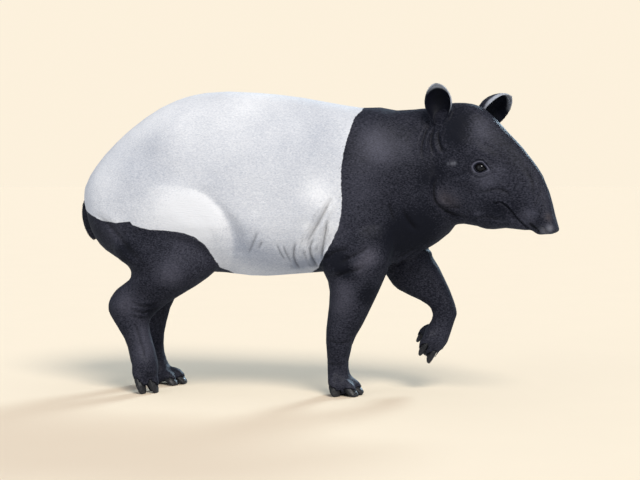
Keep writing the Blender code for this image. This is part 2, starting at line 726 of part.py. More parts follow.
def main():
    """Build the tapir."""
    clear_scene()
    parts = new_collection("malayan_tapir")
    cutters = new_collection("tapir_cutters")

    black_skin = material("black_skin", (0.028, 0.029, 0.040), 0.75)
    white_coat = material("white_coat", (0.72, 0.73, 0.78), 0.8)
    horn = material("hoof_horn", (0.055, 0.050, 0.048), 0.5)
    eye_black = material("eye_black", (0.012, 0.008, 0.006), 0.08)

    straight = [
        loft("trunk_loft", TRUNK, cutters),
        loft("head_loft", HEAD, cutters),
        loft("jaw_loft", LOWER_JAW, cutters),
    ]
    tree = skin_tree(straight)
    straight += lips(tree, cutters)
    eye_seats = {side: on_side(tree, EYE_AT, side) for side in (-1, 1)}
    nostril_seats = {side: on_side(tree, NOSTRIL_AT, side) for side in (-1, 1)}
    for obj in straight:
        turn_with_neck(obj)
    legs = {
        "foreleg_right": FORELEG_RIGHT,
        "foreleg_left": FORELEG_LEFT,
        "hindleg_right": HINDLEG_RIGHT,
        "hindleg_left": HINDLEG_LEFT,
    }
    limbs = [loft(name + "_loft", sections, cutters) for name, sections in legs.items()]
    digits = [digit(toe, leg, cutters) for leg, toes in FEET.items() for toe in toes]
    body = fuse(straight + limbs + digits, cutters)
    thin_out(body, FLESH_TRIANGLES)

    rest = copy_of(body, "torso", parts)
    nodes = {}
    for leg, cut in LEG_CUTS.items():
        upper = part_off(rest, leg + "_upper", cut, parts, cutters)
        nodes[leg + "_lower"] = part_off(upper, leg + "_lower", wide(JOINT_CUTS[leg]), parts, cutters)
        nodes[leg + "_upper"] = upper
    head = part_off(rest, "head", wide(turned_cut(HEAD_CUT)), parts, cutters)
    nodes["neck"] = part_off(rest, "neck", wide(turned_cut(NECK_CUT)), parts, cutters)
    nodes["shoulders"] = part_off(rest, "shoulders", wide(SHOULDER_CUT), parts, cutters)
    nodes["torso"] = rest

    ground = block("ground", (0, 0, 0), (0, 0, -1), (1, 0, 0), 1.0, 1.0, 1.0, 0.2, cutters)
    for leg, toes in FEET.items():
        for toe in toes:
            horn_piece = hoof(toe, leg.replace("_lower", ""), parts)
            boolean(nodes[leg], grown(horn_piece, 1.8 * GAP, cutters), "DIFFERENCE")
            boolean(horn_piece, ground, "DIFFERENCE")
            nodes[horn_piece.name] = horn_piece
        boolean(nodes[leg], ground, "DIFFERENCE")
        largest_piece(nodes[leg])

    for side, word in ((-1, "right"), (1, "left")):
        point, normal = eye_seats[side]
        tip = turned_point(point + normal)
        point = turned_point(point)
        outward = (tip - point).normalized()
        boolean(head, lid_ring("lids_" + word, point, outward, cutters), "UNION")
        centre = point - outward * EYE_SUNK
        eye = ellipsoid("eye_" + word, centre, (2 * EYE_RADIUS,) * 3, Matrix.Identity(3), parts, 14, 8)
        nodes[eye.name] = eye
        socket = ellipsoid(
            "socket_" + word, centre, (2 * (EYE_RADIUS + GAP),) * 3, Matrix.Identity(3), cutters, 14, 8
        )
        boolean(head, socket, "DIFFERENCE")
        boolean(head, mouth_blade(tree, side, cutters), "DIFFERENCE")
    largest_piece(head)

    snout = part_off(head, "snout", wide(turned_cut(SNOUT_CUT), 0.4), parts, cutters)
    for side in (-1, 1):
        point, normal = nostril_seats[side]
        point = turned_point(point)
        pitch = Matrix.Rotation(math.radians(40), 3, "Y")
        hole = ellipsoid(f"nostril_{side}", point, NOSTRIL_SIZE, pitch, cutters, 16, 10)
        boolean(snout, hole, "DIFFERENCE")
    nodes["head"] = head
    nodes["snout"] = snout

    mantle = grown(body, GAP, cutters)
    for ear in EARS:
        nodes[ear.name] = boolean(ear_shell(ear, parts), mantle, "DIFFERENCE")
        largest_piece(nodes[ear.name])

    tail = loft("tail_seat", TAIL, cutters, points_round=12, rings_between=2)
    nodes["tail"] = copy_of(tail, "tail", parts)
    boolean(nodes["torso"], grown(tail, GAP, cutters), "DIFFERENCE")
    largest_piece(nodes["torso"])

    for name, obj in nodes.items():
        if "hoof" in name:
            finish = horn
        elif "eye" in name:
            finish = eye_black
        else:
            finish = white_coat if name == "torso" else black_skin
        obj.data.materials.clear()
        obj.data.materials.append(finish)
        obj.data.shade_smooth()
        obj.data.set_sharp_from_angle(angle=math.radians(40))
        obj.data.transform(Matrix.Translation((FORWARD_SHIFT, 0, 0)))
    for obj in cutters.objects:
        obj.hide_render = True
        obj.display_type = "WIRE"


main()
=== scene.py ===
"""The looks of a life-size Malayan tapir: its hide, coat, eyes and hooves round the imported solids.

The animal faces +X and its right side, at -Y, is the one that the camera sees. Places on its
hide are given as (x, z) in the side view of the straight animal, in metres, and the neck's bend
takes those of the neck and head to where they lie.
"""

import logging
import math
from collections.abc import Iterable
from dataclasses import dataclass, field
from enum import Enum

import bmesh
import bpy
import numpy as np
from mathutils import Matrix, Vector
from mathutils.bvhtree import BVHTree


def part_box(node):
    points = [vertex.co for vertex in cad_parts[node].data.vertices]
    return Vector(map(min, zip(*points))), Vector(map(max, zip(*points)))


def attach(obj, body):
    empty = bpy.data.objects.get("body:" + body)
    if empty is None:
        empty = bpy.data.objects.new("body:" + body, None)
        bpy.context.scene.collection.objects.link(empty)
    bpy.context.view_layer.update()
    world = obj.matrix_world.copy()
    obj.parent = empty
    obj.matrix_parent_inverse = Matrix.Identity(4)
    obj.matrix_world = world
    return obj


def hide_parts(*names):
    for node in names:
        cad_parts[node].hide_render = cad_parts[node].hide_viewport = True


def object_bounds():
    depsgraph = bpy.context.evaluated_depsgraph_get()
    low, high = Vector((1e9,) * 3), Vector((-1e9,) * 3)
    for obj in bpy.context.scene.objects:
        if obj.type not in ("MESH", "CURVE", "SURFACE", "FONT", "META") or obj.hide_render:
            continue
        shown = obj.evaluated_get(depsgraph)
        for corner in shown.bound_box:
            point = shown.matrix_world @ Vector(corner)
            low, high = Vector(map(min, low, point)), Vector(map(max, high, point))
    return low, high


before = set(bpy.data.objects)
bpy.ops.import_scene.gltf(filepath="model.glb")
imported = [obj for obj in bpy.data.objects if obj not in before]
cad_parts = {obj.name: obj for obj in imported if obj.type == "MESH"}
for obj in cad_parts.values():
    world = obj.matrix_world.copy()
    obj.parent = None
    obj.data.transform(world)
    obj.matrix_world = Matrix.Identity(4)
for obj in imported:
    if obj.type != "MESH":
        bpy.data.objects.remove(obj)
CAD_BOX = [list(corner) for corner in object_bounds()]

logging.basicConfig(level=logging.INFO, format="%(message)s")
log = logging.getLogger("tapir")

BODY = "root"
Place = tuple[float, float]
Colour = tuple[float, float, float]


class Side(Enum):
    """A side of the animal, by the sign of its Y."""

    RIGHT = (-1,)
    LEFT = (1,)
    BOTH = (-1, 1)


class Region(Enum):
    """The regions of the hide that are smoothed, combed and coloured each in their own way."""

    TRUNK = 0
    NECK = 1
    HEAD = 2
    EAR = 3
    TAIL = 4
    UPPER_LEG = 5
    LOWER_LEG = 6

    @classmethod
    def of_node(cls, name: str) -> "Region":
        """The region that a solid of the frame belongs to."""
        for word, region in (
            ("ear_", cls.EAR), ("eye_", cls.HEAD), ("head", cls.HEAD), ("snout", cls.HEAD),
            ("tail", cls.TAIL), ("neck", cls.NECK), ("_upper", cls.UPPER_LEG), ("_lower", cls.LOWER_LEG),
        ):
            if word in name:
                return region
        return cls.TRUNK


@dataclass(frozen=True)
class NeckBend:
    """The bend of the neck, which turns the head towards the animal's right side."""

    start_x: float = 0.278
    length: float = 0.20
    turn: float = math.radians(15)

    def place(self, point: Vector) -> Vector:
        """Where a point of the straight animal lies once the neck is bent.

        Args:
            point: the point on the straight animal.

        Returns:
            The same point of the bent one.
        """
        reach = point.x - self.start_x
        if reach <= 0:
            return Vector(point)
        radius = self.length / self.turn
        angle = self.turn * min(reach / self.length, 1.0)
        past = max(reach - self.length, 0.0)
        x = self.start_x + radius * math.sin(angle) + math.cos(angle) * past + math.sin(angle) * point.y
        y = -radius * (1 - math.cos(angle)) - math.sin(angle) * past + math.cos(angle) * point.y
        return Vector((x, y, point.z))

    def straighten(self, places: np.ndarray) -> np.ndarray:
        """Where places of the bent animal's head lie on the straight one.

        Args:
            places: rows of places past the bend.

        Returns:
            As many rows.
        """
        radius = self.length / self.turn
        start = np.array((
            self.start_x + radius * math.sin(self.turn), -radius * (1 - math.cos(self.turn)), 0.0
        ))
        away = places - start
        cos, sin = math.cos(self.turn), math.sin(self.turn)
        x = self.start_x + self.length + away[:, 0] * cos - away[:, 1] * sin
        return np.stack([x, away[:, 0] * sin + away[:, 1] * cos, away[:, 2]], 1)

    def ahead(self) -> Vector:
        """The way the head looks."""
        return Vector((math.cos(self.turn), -math.sin(self.turn), 0))


NECK = NeckBend()


@dataclass(frozen=True)
class EarShape:
    """How an ear stands: the middle of its root on the straight animal, its leans and its size.

    The leans are in degrees, and so is facing, the turn of its opening from straight ahead. pale_tip
    is how far the pale rim widens at its tip, as a share of its depth. The root is as wide as the share
    narrowing, and it grows to the full width at the share widest of the ear's height.
    """

    node: str
    side: int
    foot: tuple[float, float, float]
    lean_out: float
    lean_ahead: float
    facing: float
    size: float
    pale_tip: float
    height: float = 0.158
    width: float = 0.102
    depth: float = 0.046
    narrowing: float = 0.55
    widest: float = 0.55

    def turn(self) -> np.ndarray:
        """The ear's own axes, as columns: out of its opening, across it, and to its tip."""
        made = (
            Matrix.Rotation(math.radians(-self.side * self.lean_out), 3, "X")
            @ Matrix.Rotation(math.radians(self.lean_ahead), 3, "Y")
            @ Matrix.Rotation(math.radians(self.facing), 3, "Z")
        )
        return np.array(made)

    def to_tip(self) -> np.ndarray:
        """The way from the ear's root to its tip on the bent animal."""
        return np.array(Matrix.Rotation(-NECK.turn, 3, "Z")) @ self.turn()[:, 2]

    def local(self, places: np.ndarray) -> np.ndarray:
        """Places as shares of the ear's depth, half width and height.

        Args:
            places: rows of places on the bent animal.

        Returns:
            As many rows, where the height runs from 0 at the root to 1 at the tip.
        """
        away = (NECK.straighten(places) - np.array(self.foot)) @ self.turn() / self.size
        up = away[:, 2] / self.height
        narrow = self.narrowing + (1 - self.narrowing) * np.clip(up / self.widest, 0, 1)
        return np.stack([away[:, 0] / (self.depth * narrow), away[:, 1] / (self.width / 2 * narrow), up], 1)


EARS = (
    EarShape("ear_right", -1, (0.484, -0.070, 0.956), 14, -2, -72, 1.0, pale_tip=0.28),
    EarShape("ear_left", 1, (0.550, 0.062, 0.958), 24, 50, -12, 1.14, pale_tip=0.08),
)


@dataclass(frozen=True)
class Crease:
    """A fold of the hide: a groove along a path, with the hide swelling on both sides of it.

    It fades out over the share taper of its length at each end, and its groove gets painted shade as dark as
    its shade.
    """

    name: str
    path: tuple[Place, ...]
    depth: float
    width: float
    lip: float = 0.35
    side: Side = Side.BOTH
    taper: float = 0.22
    # How dark the painted shade in the groove is.
    shade: float = 0.6


@dataclass(frozen=True)
class Swell:
    """A low rise of muscle or bone under the hide, or a hollow where its height is negative."""

    name: str
    at: Place
    reach: tuple[float, float]
    height: float
    turn: float = 0.0
    side: Side = Side.BOTH


@dataclass(frozen=True)
class Patch:
    """A soft patch of another tone: paler above 0, darker below, and browner where warm."""

    at: Place
    radius: float
    tone: float
    warm: float = 0.0
    side: Side = Side.BOTH


@dataclass(frozen=True)
class PaintedLightPlane:
    """Painted light on a plane of the form in the side view, with a crisp outline that fades out from a
    middle.
    """

    outline: tuple[Place, ...]
    at: Place
    fade: float
    tone: float
    edge: float

    def shade(self, side_view: np.ndarray) -> np.ndarray:
        """How much painted light the plane adds at places.

        Args:
            side_view: rows of x and z.

        Returns:
            A tone for each.
        """
        gap, _ = distance_to_path(side_view, np.array(self.outline + self.outline[:1]))
        inside = np.where(inside_outline(side_view, np.array(self.outline)), gap, -gap)
        reach = np.linalg.norm(side_view - np.array(self.at), axis=1) / self.fade
        return self.tone * smooth_share(inside, -self.edge / 2, self.edge / 2) * np.exp(-(reach**2))


MOUTH = Crease(
    "mouth", ((0.680, 0.691), (0.690, 0.695), (0.702, 0.698), (0.712, 0.696), (0.725, 0.686),
              (0.741, 0.668), (0.758, 0.644), (0.776, 0.623), (0.795, 0.604)), 0.0070, 0.0030, 0.25,
    taper=0.05, shade=0.9,
)

CREASES = (
    MOUTH,
    Crease("over the mouth", ((0.625, 0.728), (0.655, 0.735), (0.685, 0.744), (0.709, 0.744),
                              (0.731, 0.732), (0.745, 0.712)), 0.0028, 0.007, 0.35),
    Crease("jaw", ((0.587, 0.631), (0.626, 0.643), (0.660, 0.647), (0.693, 0.640), (0.727, 0.633)),
           0.0022, 0.006),
    Crease("jowl", ((0.490, 0.790), (0.474, 0.760), (0.472, 0.715), (0.484, 0.687), (0.505, 0.666),
                    (0.535, 0.651), (0.580, 0.640)), 0.0060, 0.0080, 0.6, shade=0.95),
    Crease("jowl branch", ((0.484, 0.687), (0.512, 0.676), (0.542, 0.680), (0.572, 0.680)), 0.0028, 0.006),
    Crease("snout fold", ((0.775, 0.826), (0.800, 0.795), (0.816, 0.760), (0.819, 0.715)), 0.0020, 0.007),
    Crease("snout ring 1", ((0.842, 0.742), (0.830, 0.715), (0.822, 0.680)), 0.0012, 0.004),
    Crease("snout ring 2", ((0.858, 0.708), (0.846, 0.680), (0.838, 0.650)), 0.0012, 0.004),
    Crease("ear fold 1", ((0.446, 0.968), (0.430, 0.930), (0.423, 0.886), (0.431, 0.850)),
           0.0052, 0.0070, 0.6, shade=0.9),
    Crease("ear fold 2", ((0.466, 0.958), (0.455, 0.921), (0.459, 0.889), (0.474, 0.862)),
           0.0052, 0.0070, 0.6, shade=0.9),
    Crease("ear fold 3", ((0.486, 0.952), (0.485, 0.921), (0.496, 0.889), (0.512, 0.866)),
           0.0046, 0.0066, 0.6, shade=0.9),
    Crease("throat", ((0.350, 0.672), (0.361, 0.655), (0.372, 0.634), (0.387, 0.613), (0.410, 0.596)),
           0.0045, 0.009),
    Crease("neck root", ((0.300, 0.700), (0.303, 0.665), (0.318, 0.630)), 0.0030, 0.009),
    Crease("chest 1", ((0.286, 0.462), (0.315, 0.478), (0.361, 0.505), (0.400, 0.530)), 0.0050, 0.008),
    Crease("chest 2", ((0.300, 0.490), (0.340, 0.510), (0.385, 0.537)), 0.0032, 0.007),
    Crease("flank 1", ((0.100, 0.715), (0.085, 0.691), (0.064, 0.650), (0.035, 0.600), (0.012, 0.565),
                       (0.002, 0.530)), 0.0095, 0.0078, 0.8, shade=0.70),
    Crease("flank 2", ((0.082, 0.640), (0.077, 0.614), (0.067, 0.565), (0.054, 0.521), (0.051, 0.480)),
           0.0095, 0.0068, 0.8, shade=0.85),
    Crease("flank 3", ((0.040, 0.590), (0.026, 0.560), (0.012, 0.530), (0.018, 0.495), (0.030, 0.458)),
           0.0070, 0.0062, 0.8, shade=0.75),
    Crease("flank 4", ((-0.030, 0.560), (-0.040, 0.532), (-0.046, 0.506), (-0.043, 0.478), (-0.034, 0.452)),
           0.0060, 0.0062, 0.7, shade=0.75),
    Crease("thigh front", ((-0.440, 0.738), (-0.390, 0.735), (-0.337, 0.717), (-0.290, 0.672),
                           (-0.258, 0.615), (-0.245, 0.555), (-0.250, 0.500), (-0.270, 0.462)),
           0.0095, 0.0220, 0.35,
           taper=0.4, shade=0.0),
    Crease("flank 5", ((-0.076, 0.548), (-0.070, 0.515), (-0.054, 0.482)), 0.0030, 0.0055),
    Crease("flank 6", ((-0.098, 0.552), (-0.090, 0.522), (-0.076, 0.490)), 0.0026, 0.0052),
    Crease("belly 1", ((-0.160, 0.596), (-0.175, 0.563), (-0.205, 0.512)), 0.0030, 0.0070),
    Crease("belly 2", ((-0.146, 0.560), (-0.166, 0.530)), 0.0022, 0.0060),
    Crease("elbow 1", ((0.056, 0.493), (0.088, 0.516), (0.125, 0.531), (0.165, 0.531)), 0.0040, 0.0085, 0.6),
    Crease("elbow 2", ((0.090, 0.432), (0.135, 0.450), (0.174, 0.458), (0.215, 0.474)), 0.0045, 0.0080, 0.6),
    Crease("elbow 3", ((0.122, 0.485), (0.165, 0.508), (0.205, 0.528), (0.232, 0.550)), 0.0038, 0.0080, 0.6),
    Crease("hock 1", ((-0.648, 0.311), (-0.612, 0.295), (-0.575, 0.298), (-0.552, 0.312)), 0.0030, 0.0060,
           side=Side.RIGHT),
    Crease("hock 2", ((-0.640, 0.333), (-0.602, 0.317), (-0.565, 0.319), (-0.530, 0.341)), 0.0032, 0.0060,
           side=Side.RIGHT),
    Crease("hock 3", ((-0.644, 0.288), (-0.610, 0.272), (-0.582, 0.277)), 0.0024, 0.0055, side=Side.RIGHT),
    Crease("hock 4", ((-0.668, 0.318), (-0.632, 0.302), (-0.600, 0.308)), 0.0030, 0.0060, side=Side.LEFT),
    Crease("hock 5", ((-0.664, 0.292), (-0.630, 0.277), (-0.602, 0.284)), 0.0026, 0.0055, side=Side.LEFT),
    Crease("buttock", ((-0.778, 0.655), (-0.711, 0.615), (-0.666, 0.558), (-0.610, 0.505), (-0.560, 0.460)),
           0.0040, 0.014, 0.5, Side.RIGHT),
    Crease("buttock far", ((-0.800, 0.655), (-0.750, 0.600), (-0.710, 0.545), (-0.660, 0.490)),
           0.0040, 0.014, 0.5, Side.LEFT),
    Crease("tendon", ((-0.632, 0.262), (-0.616, 0.206), (-0.602, 0.159), (-0.592, 0.120)),
           0.0042, 0.0085, 0.6, Side.RIGHT),
    Crease("tendon far", ((-0.655, 0.262), (-0.650, 0.210), (-0.646, 0.160), (-0.640, 0.110)),
           0.0042, 0.0085, 0.6, Side.LEFT),
    Crease("fore wrist", ((0.062, 0.205), (0.090, 0.196), (0.120, 0.194), (0.148, 0.200)), 0.0022, 0.0065,
           side=Side.RIGHT),
    Crease("fore pastern", ((0.060, 0.118), (0.090, 0.112), (0.126, 0.113)), 0.0020, 0.0055, side=Side.RIGHT),
    Crease("bent wrist 1", ((0.404, 0.300), (0.425, 0.288), (0.448, 0.272)), 0.0040, 0.0065, side=Side.LEFT),
    Crease("bent wrist 2", ((0.404, 0.282), (0.424, 0.266), (0.444, 0.254)), 0.0030, 0.0060, side=Side.LEFT),
)

SWELLS = (
    Swell("thigh under the saddle", (-0.420, 0.640), (0.190, 0.150), 0.013, -18),
    Swell("hollow before the thigh", (-0.235, 0.560), (0.080, 0.150), -0.010, 14),
    Swell("hollow over the thigh", (-0.560, 0.830), (0.240, 0.080), -0.006, -20),
    Swell("haunch", (-0.500, 0.960), (0.150, 0.110), 0.006),
    Swell("belly", (-0.080, 0.600), (0.210, 0.140), 0.003, 0),
    Swell("ribs", (-0.120, 0.820), (0.260, 0.170), 0.002),
    Swell("flank by the elbow", (0.040, 0.690), (0.070, 0.110), 0.008, -24),
    Swell("hollow behind the shoulder", (0.085, 0.800), (0.060, 0.170), -0.007, -6),
    Swell("shoulder blade", (0.190, 0.820), (0.100, 0.200), 0.009, -16),
    Swell("upper arm", (0.190, 0.600), (0.110, 0.110), 0.012, -30),
    Swell("point of the shoulder", (0.300, 0.610), (0.070, 0.090), 0.006, -20),
    Swell("elbow pouch", (0.105, 0.470), (0.060, 0.048), 0.010, 20),
    Swell("neck muscle", (0.360, 0.850), (0.110, 0.130), 0.006, -20),
    Swell("forearm", (0.130, 0.370), (0.062, 0.100), 0.005, -10, Side.RIGHT),
    Swell("wrist", (0.120, 0.170), (0.035, 0.035), 0.003, 0, Side.RIGHT),
    Swell("far forearm", (0.350, 0.410), (0.070, 0.060), 0.006, -40, Side.LEFT),
    Swell("knee of the hind leg", (-0.470, 0.440), (0.080, 0.075), 0.007, -30, Side.RIGHT),
    Swell("calf", (-0.590, 0.400), (0.080, 0.050), 0.005, -30, Side.RIGHT),
    Swell("heel", (-0.690, 0.320), (0.045, 0.045), 0.005, 0, Side.RIGHT),
    Swell("far knee", (-0.540, 0.440), (0.080, 0.075), 0.007, -30, Side.LEFT),
    Swell("far heel", (-0.725, 0.320), (0.045, 0.045), 0.005, 0, Side.LEFT),
    Swell("brow", (0.655, 0.868), (0.060, 0.026), 0.0050, -30),
    Swell("cheek bone", (0.600, 0.775), (0.080, 0.024), 0.0045, 8),
    Swell("hollow under the cheek bone", (0.610, 0.725), (0.060, 0.022), -0.0030, 4),
    Swell("jowl", (0.530, 0.710), (0.050, 0.060), 0.0065, 0),
    Swell("temple", (0.560, 0.905), (0.070, 0.050), 0.0050, -10),
    Swell("hollow behind the eye", (0.585, 0.845), (0.030, 0.022), -0.0030, 0),
    Swell("upper lip", (0.770, 0.665), (0.045, 0.032), 0.0050, -52),
    Swell("lower lip", (0.735, 0.640), (0.035, 0.014), 0.0030, -46),
    Swell("nostril wing", (0.838, 0.628), (0.026, 0.018), 0.0045, -60),
)

# Soft patches of tone on the hide. Some are its own marks, such as the browner cheeks; most are painted light
# on the planes of the form that face the light, and painted shade in hollows, under the neck and belly, and
# behind the legs.
TONE_AND_PAINTED_LIGHT_PATCHES = (
    Patch((0.640, 0.930), 0.046, 0.50),
    Patch((0.622, 0.970), 0.036, 0.35),
    Patch((0.552, 0.935), 0.050, -0.55),
    Patch((0.655, 0.780), 0.034, 0.60),
    Patch((0.700, 0.812), 0.030, 0.25),
    Patch((0.803, 0.655), 0.024, 0.55),
    Patch((0.690, 0.672), 0.040, -0.40),
    Patch((0.506, 0.712), 0.034, 0.50, 0.6),
    Patch((0.540, 0.695), 0.030, 0.20, 0.4),
    Patch((0.542, 0.832), 0.0120, 0.60, 0.4),
    Patch((0.238, 0.915), 0.062, 0.85),
    Patch((0.262, 0.860), 0.046, 0.50),
    Patch((0.195, 0.760), 0.070, 0.40),
    Patch((0.330, 0.880), 0.050, 0.25),
    Patch((0.228, 0.508), 0.034, 1.10, 0.2),
    Patch((0.190, 0.472), 0.028, 0.60, 0.2),
    Patch((0.120, 0.492), 0.030, -0.90),
    Patch((0.148, 0.452), 0.030, -0.70),
    Patch((0.405, 0.590), 0.080, -0.75),
    Patch((0.330, 0.570), 0.056, -0.70),
    Patch((0.135, 0.385), 0.046, 0.70, 0.1, Side.RIGHT),
    Patch((0.122, 0.325), 0.046, 0.60, 0.1, Side.RIGHT),
    Patch((0.110, 0.250), 0.030, 0.20, 0.0, Side.RIGHT),
    Patch((0.215, 0.370), 0.036, -0.45, 0.0, Side.RIGHT),
    Patch((-0.485, 0.438), 0.052, 0.85, 0.1, Side.RIGHT),
    Patch((-0.662, 0.325), 0.044, 0.75, 0.1, Side.RIGHT),
    Patch((-0.609, 0.215), 0.034, 0.60, 0.0, Side.RIGHT),
    Patch((-0.602, 0.155), 0.034, 0.75, 0.0, Side.RIGHT),
    Patch((-0.570, 0.300), 0.034, -0.50, 0.0, Side.RIGHT),
    Patch((-0.699, 0.585), 0.050, 0.55),
    Patch((-0.660, 0.520), 0.044, -0.50),
    Patch((-0.430, 0.540), 0.060, 0.15),
    Patch((-0.540, 0.440), 0.058, 0.60, 0.1, Side.LEFT),
    Patch((-0.700, 0.325), 0.048, 0.55, 0.1, Side.LEFT),
    Patch((0.400, 0.380), 0.050, 0.50, 0.0, Side.LEFT),
    Patch((0.330, 0.480), 0.050, 0.30, 0.0, Side.LEFT),
    Patch((0.470, 0.800), 0.060, -0.50),
    Patch((0.560, 0.990), 0.050, -0.40),
    Patch((0.760, 0.690), 0.040, -0.30),
    Patch((0.852, 0.603), 0.015, 1.30, 0.8),
    Patch((0.876, 0.610), 0.013, 1.10, 0.5),
    Patch((0.868, 0.648), 0.016, 0.50, 0.9),
    Patch((0.840, 0.640), 0.014, -0.40),
    # On the saddle: painted light on the thigh and flank, and painted shade on the back, the belly and the
    # hollows.
    Patch((-0.460, 0.640), 0.090, 0.30),
    Patch((0.030, 0.735), 0.045, 0.55),
    Patch((0.085, 0.690), 0.045, 0.60),
    Patch((0.098, 0.600), 0.040, 0.60),
    Patch((0.020, 0.610), 0.022, 0.55),
    Patch((-0.004, 0.555), 0.018, 0.55),
    Patch((0.058, 0.498), 0.026, -1.10),
    Patch((0.020, 0.486), 0.030, -1.10),
    Patch((-0.030, 0.470), 0.032, -0.80),
    Patch((-0.200, 1.060), 0.120, 0.35),
    Patch((-0.450, 1.040), 0.110, 0.35),
    Patch((-0.620, 0.960), 0.100, 0.25),
    Patch((-0.760, 0.780), 0.080, 0.30),
    Patch((-0.240, 0.560), 0.090, -0.60),
    Patch((-0.150, 0.500), 0.090, -0.60),
    Patch((-0.040, 0.480), 0.080, -0.60),
    Patch((-0.650, 0.760), 0.120, -0.35),
    Patch((-0.520, 0.860), 0.130, -0.35),
    Patch((-0.100, 0.850), 0.160, -0.25),
    Patch((0.060, 0.900), 0.080, -0.35),
)

# The line of a nostril, from its back to its front.
NOSTRIL = ((0.803, 0.622), (0.812, 0.615), (0.821, 0.608), (0.828, 0.600))

# Painted light on the front of the thigh, whose forward edge is crisp and whose back fades into the rump.
THIGH_PAINTED_LIGHT = PaintedLightPlane(
    ((-0.560, 0.745), (-0.500, 0.758), (-0.440, 0.750), (-0.385, 0.740), (-0.335, 0.715), (-0.292, 0.672),
     (-0.264, 0.615), (-0.254, 0.555), (-0.262, 0.505), (-0.285, 0.455), (-0.340, 0.440), (-0.640, 0.560)),
    at=(-0.345, 0.630), fade=0.175, tone=0.85, edge=0.014,
)

# Small pale spots behind the eye, and a painted highlight on the damp pad of the nose: their tone is a share
# of the ears' pale rims.
PALE_SPOTS_AND_NOSE_HIGHLIGHT = (
    Patch((0.551, 0.833), 0.0055, 0.22),
    Patch((0.540, 0.832), 0.0060, 0.16),
    Patch((0.526, 0.831), 0.0050, 0.12),
    Patch((0.848, 0.600), 0.0150, 0.20),
    Patch((0.872, 0.607), 0.0120, 0.22),
    Patch((0.888, 0.620), 0.0085, 0.50),
)

# The edge of the pale saddle in the side view, round from the withers by the belly to the rump.
SADDLE = (
    (0.178, 1.140), (0.181, 1.021), (0.162, 0.995), (0.149, 0.942), (0.136, 0.879), (0.129, 0.809),
    (0.130, 0.757), (0.133, 0.705), (0.129, 0.653), (0.118, 0.607), (0.098, 0.565), (0.074, 0.524),
    (0.050, 0.487), (0.034, 0.462), (-0.010, 0.435), (-0.020, 0.380), (-0.272, 0.380), (-0.293, 0.445),
    (-0.322, 0.457), (-0.324, 0.477), (-0.338, 0.507), (-0.357, 0.544), (-0.390, 0.573), (-0.426, 0.586),
    (-0.481, 0.593), (-0.556, 0.596), (-0.594, 0.602), (-0.624, 0.614), (-0.631, 0.625), (-0.690, 0.619),
    (-0.752, 0.628), (-0.801, 0.648), (-0.850, 0.672), (-0.880, 0.700), (-0.960, 0.722), (-0.960, 1.140),
)


def smooth_share(value: np.ndarray, low: float, high: float) -> np.ndarray:
    """0 below low, 1 above high, and a soft step between."""
    t = np.clip((value - low) / (high - low), 0.0, 1.0)
    return t * t * (3 - 2 * t)


def unit(rows: np.ndarray) -> np.ndarray:
    """Rows made one long."""
    return rows / np.maximum(np.linalg.norm(rows, axis=1, keepdims=True), 1e-12)


def distance_to_path(points: np.ndarray, path: np.ndarray) -> tuple[np.ndarray, np.ndarray]:
    """How far points lie from a path of straight steps.

    Args:
        points: rows of places.
        path: rows of the path's knots, in as many dimensions.

    Returns:
        Each point's distance, and how far along the path, from 0 to 1, its nearest spot lies.
    """
    steps = np.linalg.norm(np.diff(path, axis=0), axis=1)
    starts = np.concatenate([[0.0], np.cumsum(steps)])
    best = np.full(len(points), np.inf)
    along = np.zeros(len(points))
    for index, length in enumerate(steps):
        way = path[index + 1] - path[index]
        share = np.clip((points - path[index]) @ way / max(length**2, 1e-12), 0, 1)
        gap = np.linalg.norm(points - path[index] - share[:, None] * way, axis=1)
        nearer = gap < best
        best[nearer] = gap[nearer]
        along[nearer] = (starts[index] + share[nearer] * length) / starts[-1]
    return best, along


def inside_outline(points: np.ndarray, outline: np.ndarray) -> np.ndarray:
    """Which points of a plane lie inside a closed outline.

    Args:
        points: rows of places.
        outline: rows of the outline's corners.

    Returns:
        True for each point inside.
    """
    inside = np.zeros(len(points), bool)
    x, z = points.T
    for (x0, z0), (x1, z1) in zip(outline, np.roll(outline, -1, axis=0)):
        spans = (z0 > z) != (z1 > z)
        with np.errstate(divide="ignore", invalid="ignore"):
            crossing = x < (x1 - x0) * (z - z0) / (z1 - z0) + x0
        inside ^= spans & crossing
    return inside


def round_path(path: tuple[Place, ...], rounds: int = 2) -> np.ndarray:
    """A path with its corners cut off, so that it bends softly.

    Args:
        path: the path's knots.
        rounds: how often each corner is cut.

    Returns:
        Rows of the softer path's knots.
    """
    knots = np.array(path, float)
    for _ in range(rounds):
        first, second = knots[:-1], knots[1:]
        cut = np.stack([first * 0.75 + second * 0.25, first * 0.25 + second * 0.75], 1).reshape(-1, 2)
        knots = np.concatenate([knots[:1], cut, knots[-1:]])
    return knots


def link(obj: bpy.types.Object) -> bpy.types.Object:
    """Put an object in the scene and return it."""
    bpy.context.scene.collection.objects.link(obj)
    return obj


def apply_modifiers(obj: bpy.types.Object) -> None:
    """Make what an object's modifiers give its own mesh.

    Args:
        obj: the object, which has no modifiers afterwards.
    """
    bpy.context.view_layer.update()
    evaluated = obj.evaluated_get(bpy.context.evaluated_depsgraph_get())
    mesh = bpy.data.meshes.new_from_object(evaluated)
    obj.modifiers.clear()
    old = obj.data
    obj.data = mesh
    bpy.data.meshes.remove(old)


def set_attribute(mesh: bpy.types.Mesh, name: str, values: np.ndarray) -> None:
    """Give every vertex of a mesh a number under a name."""
    made = mesh.attributes.new(name, "FLOAT", "POINT")
    made.data.foreach_set("value", np.asarray(values, np.float32))


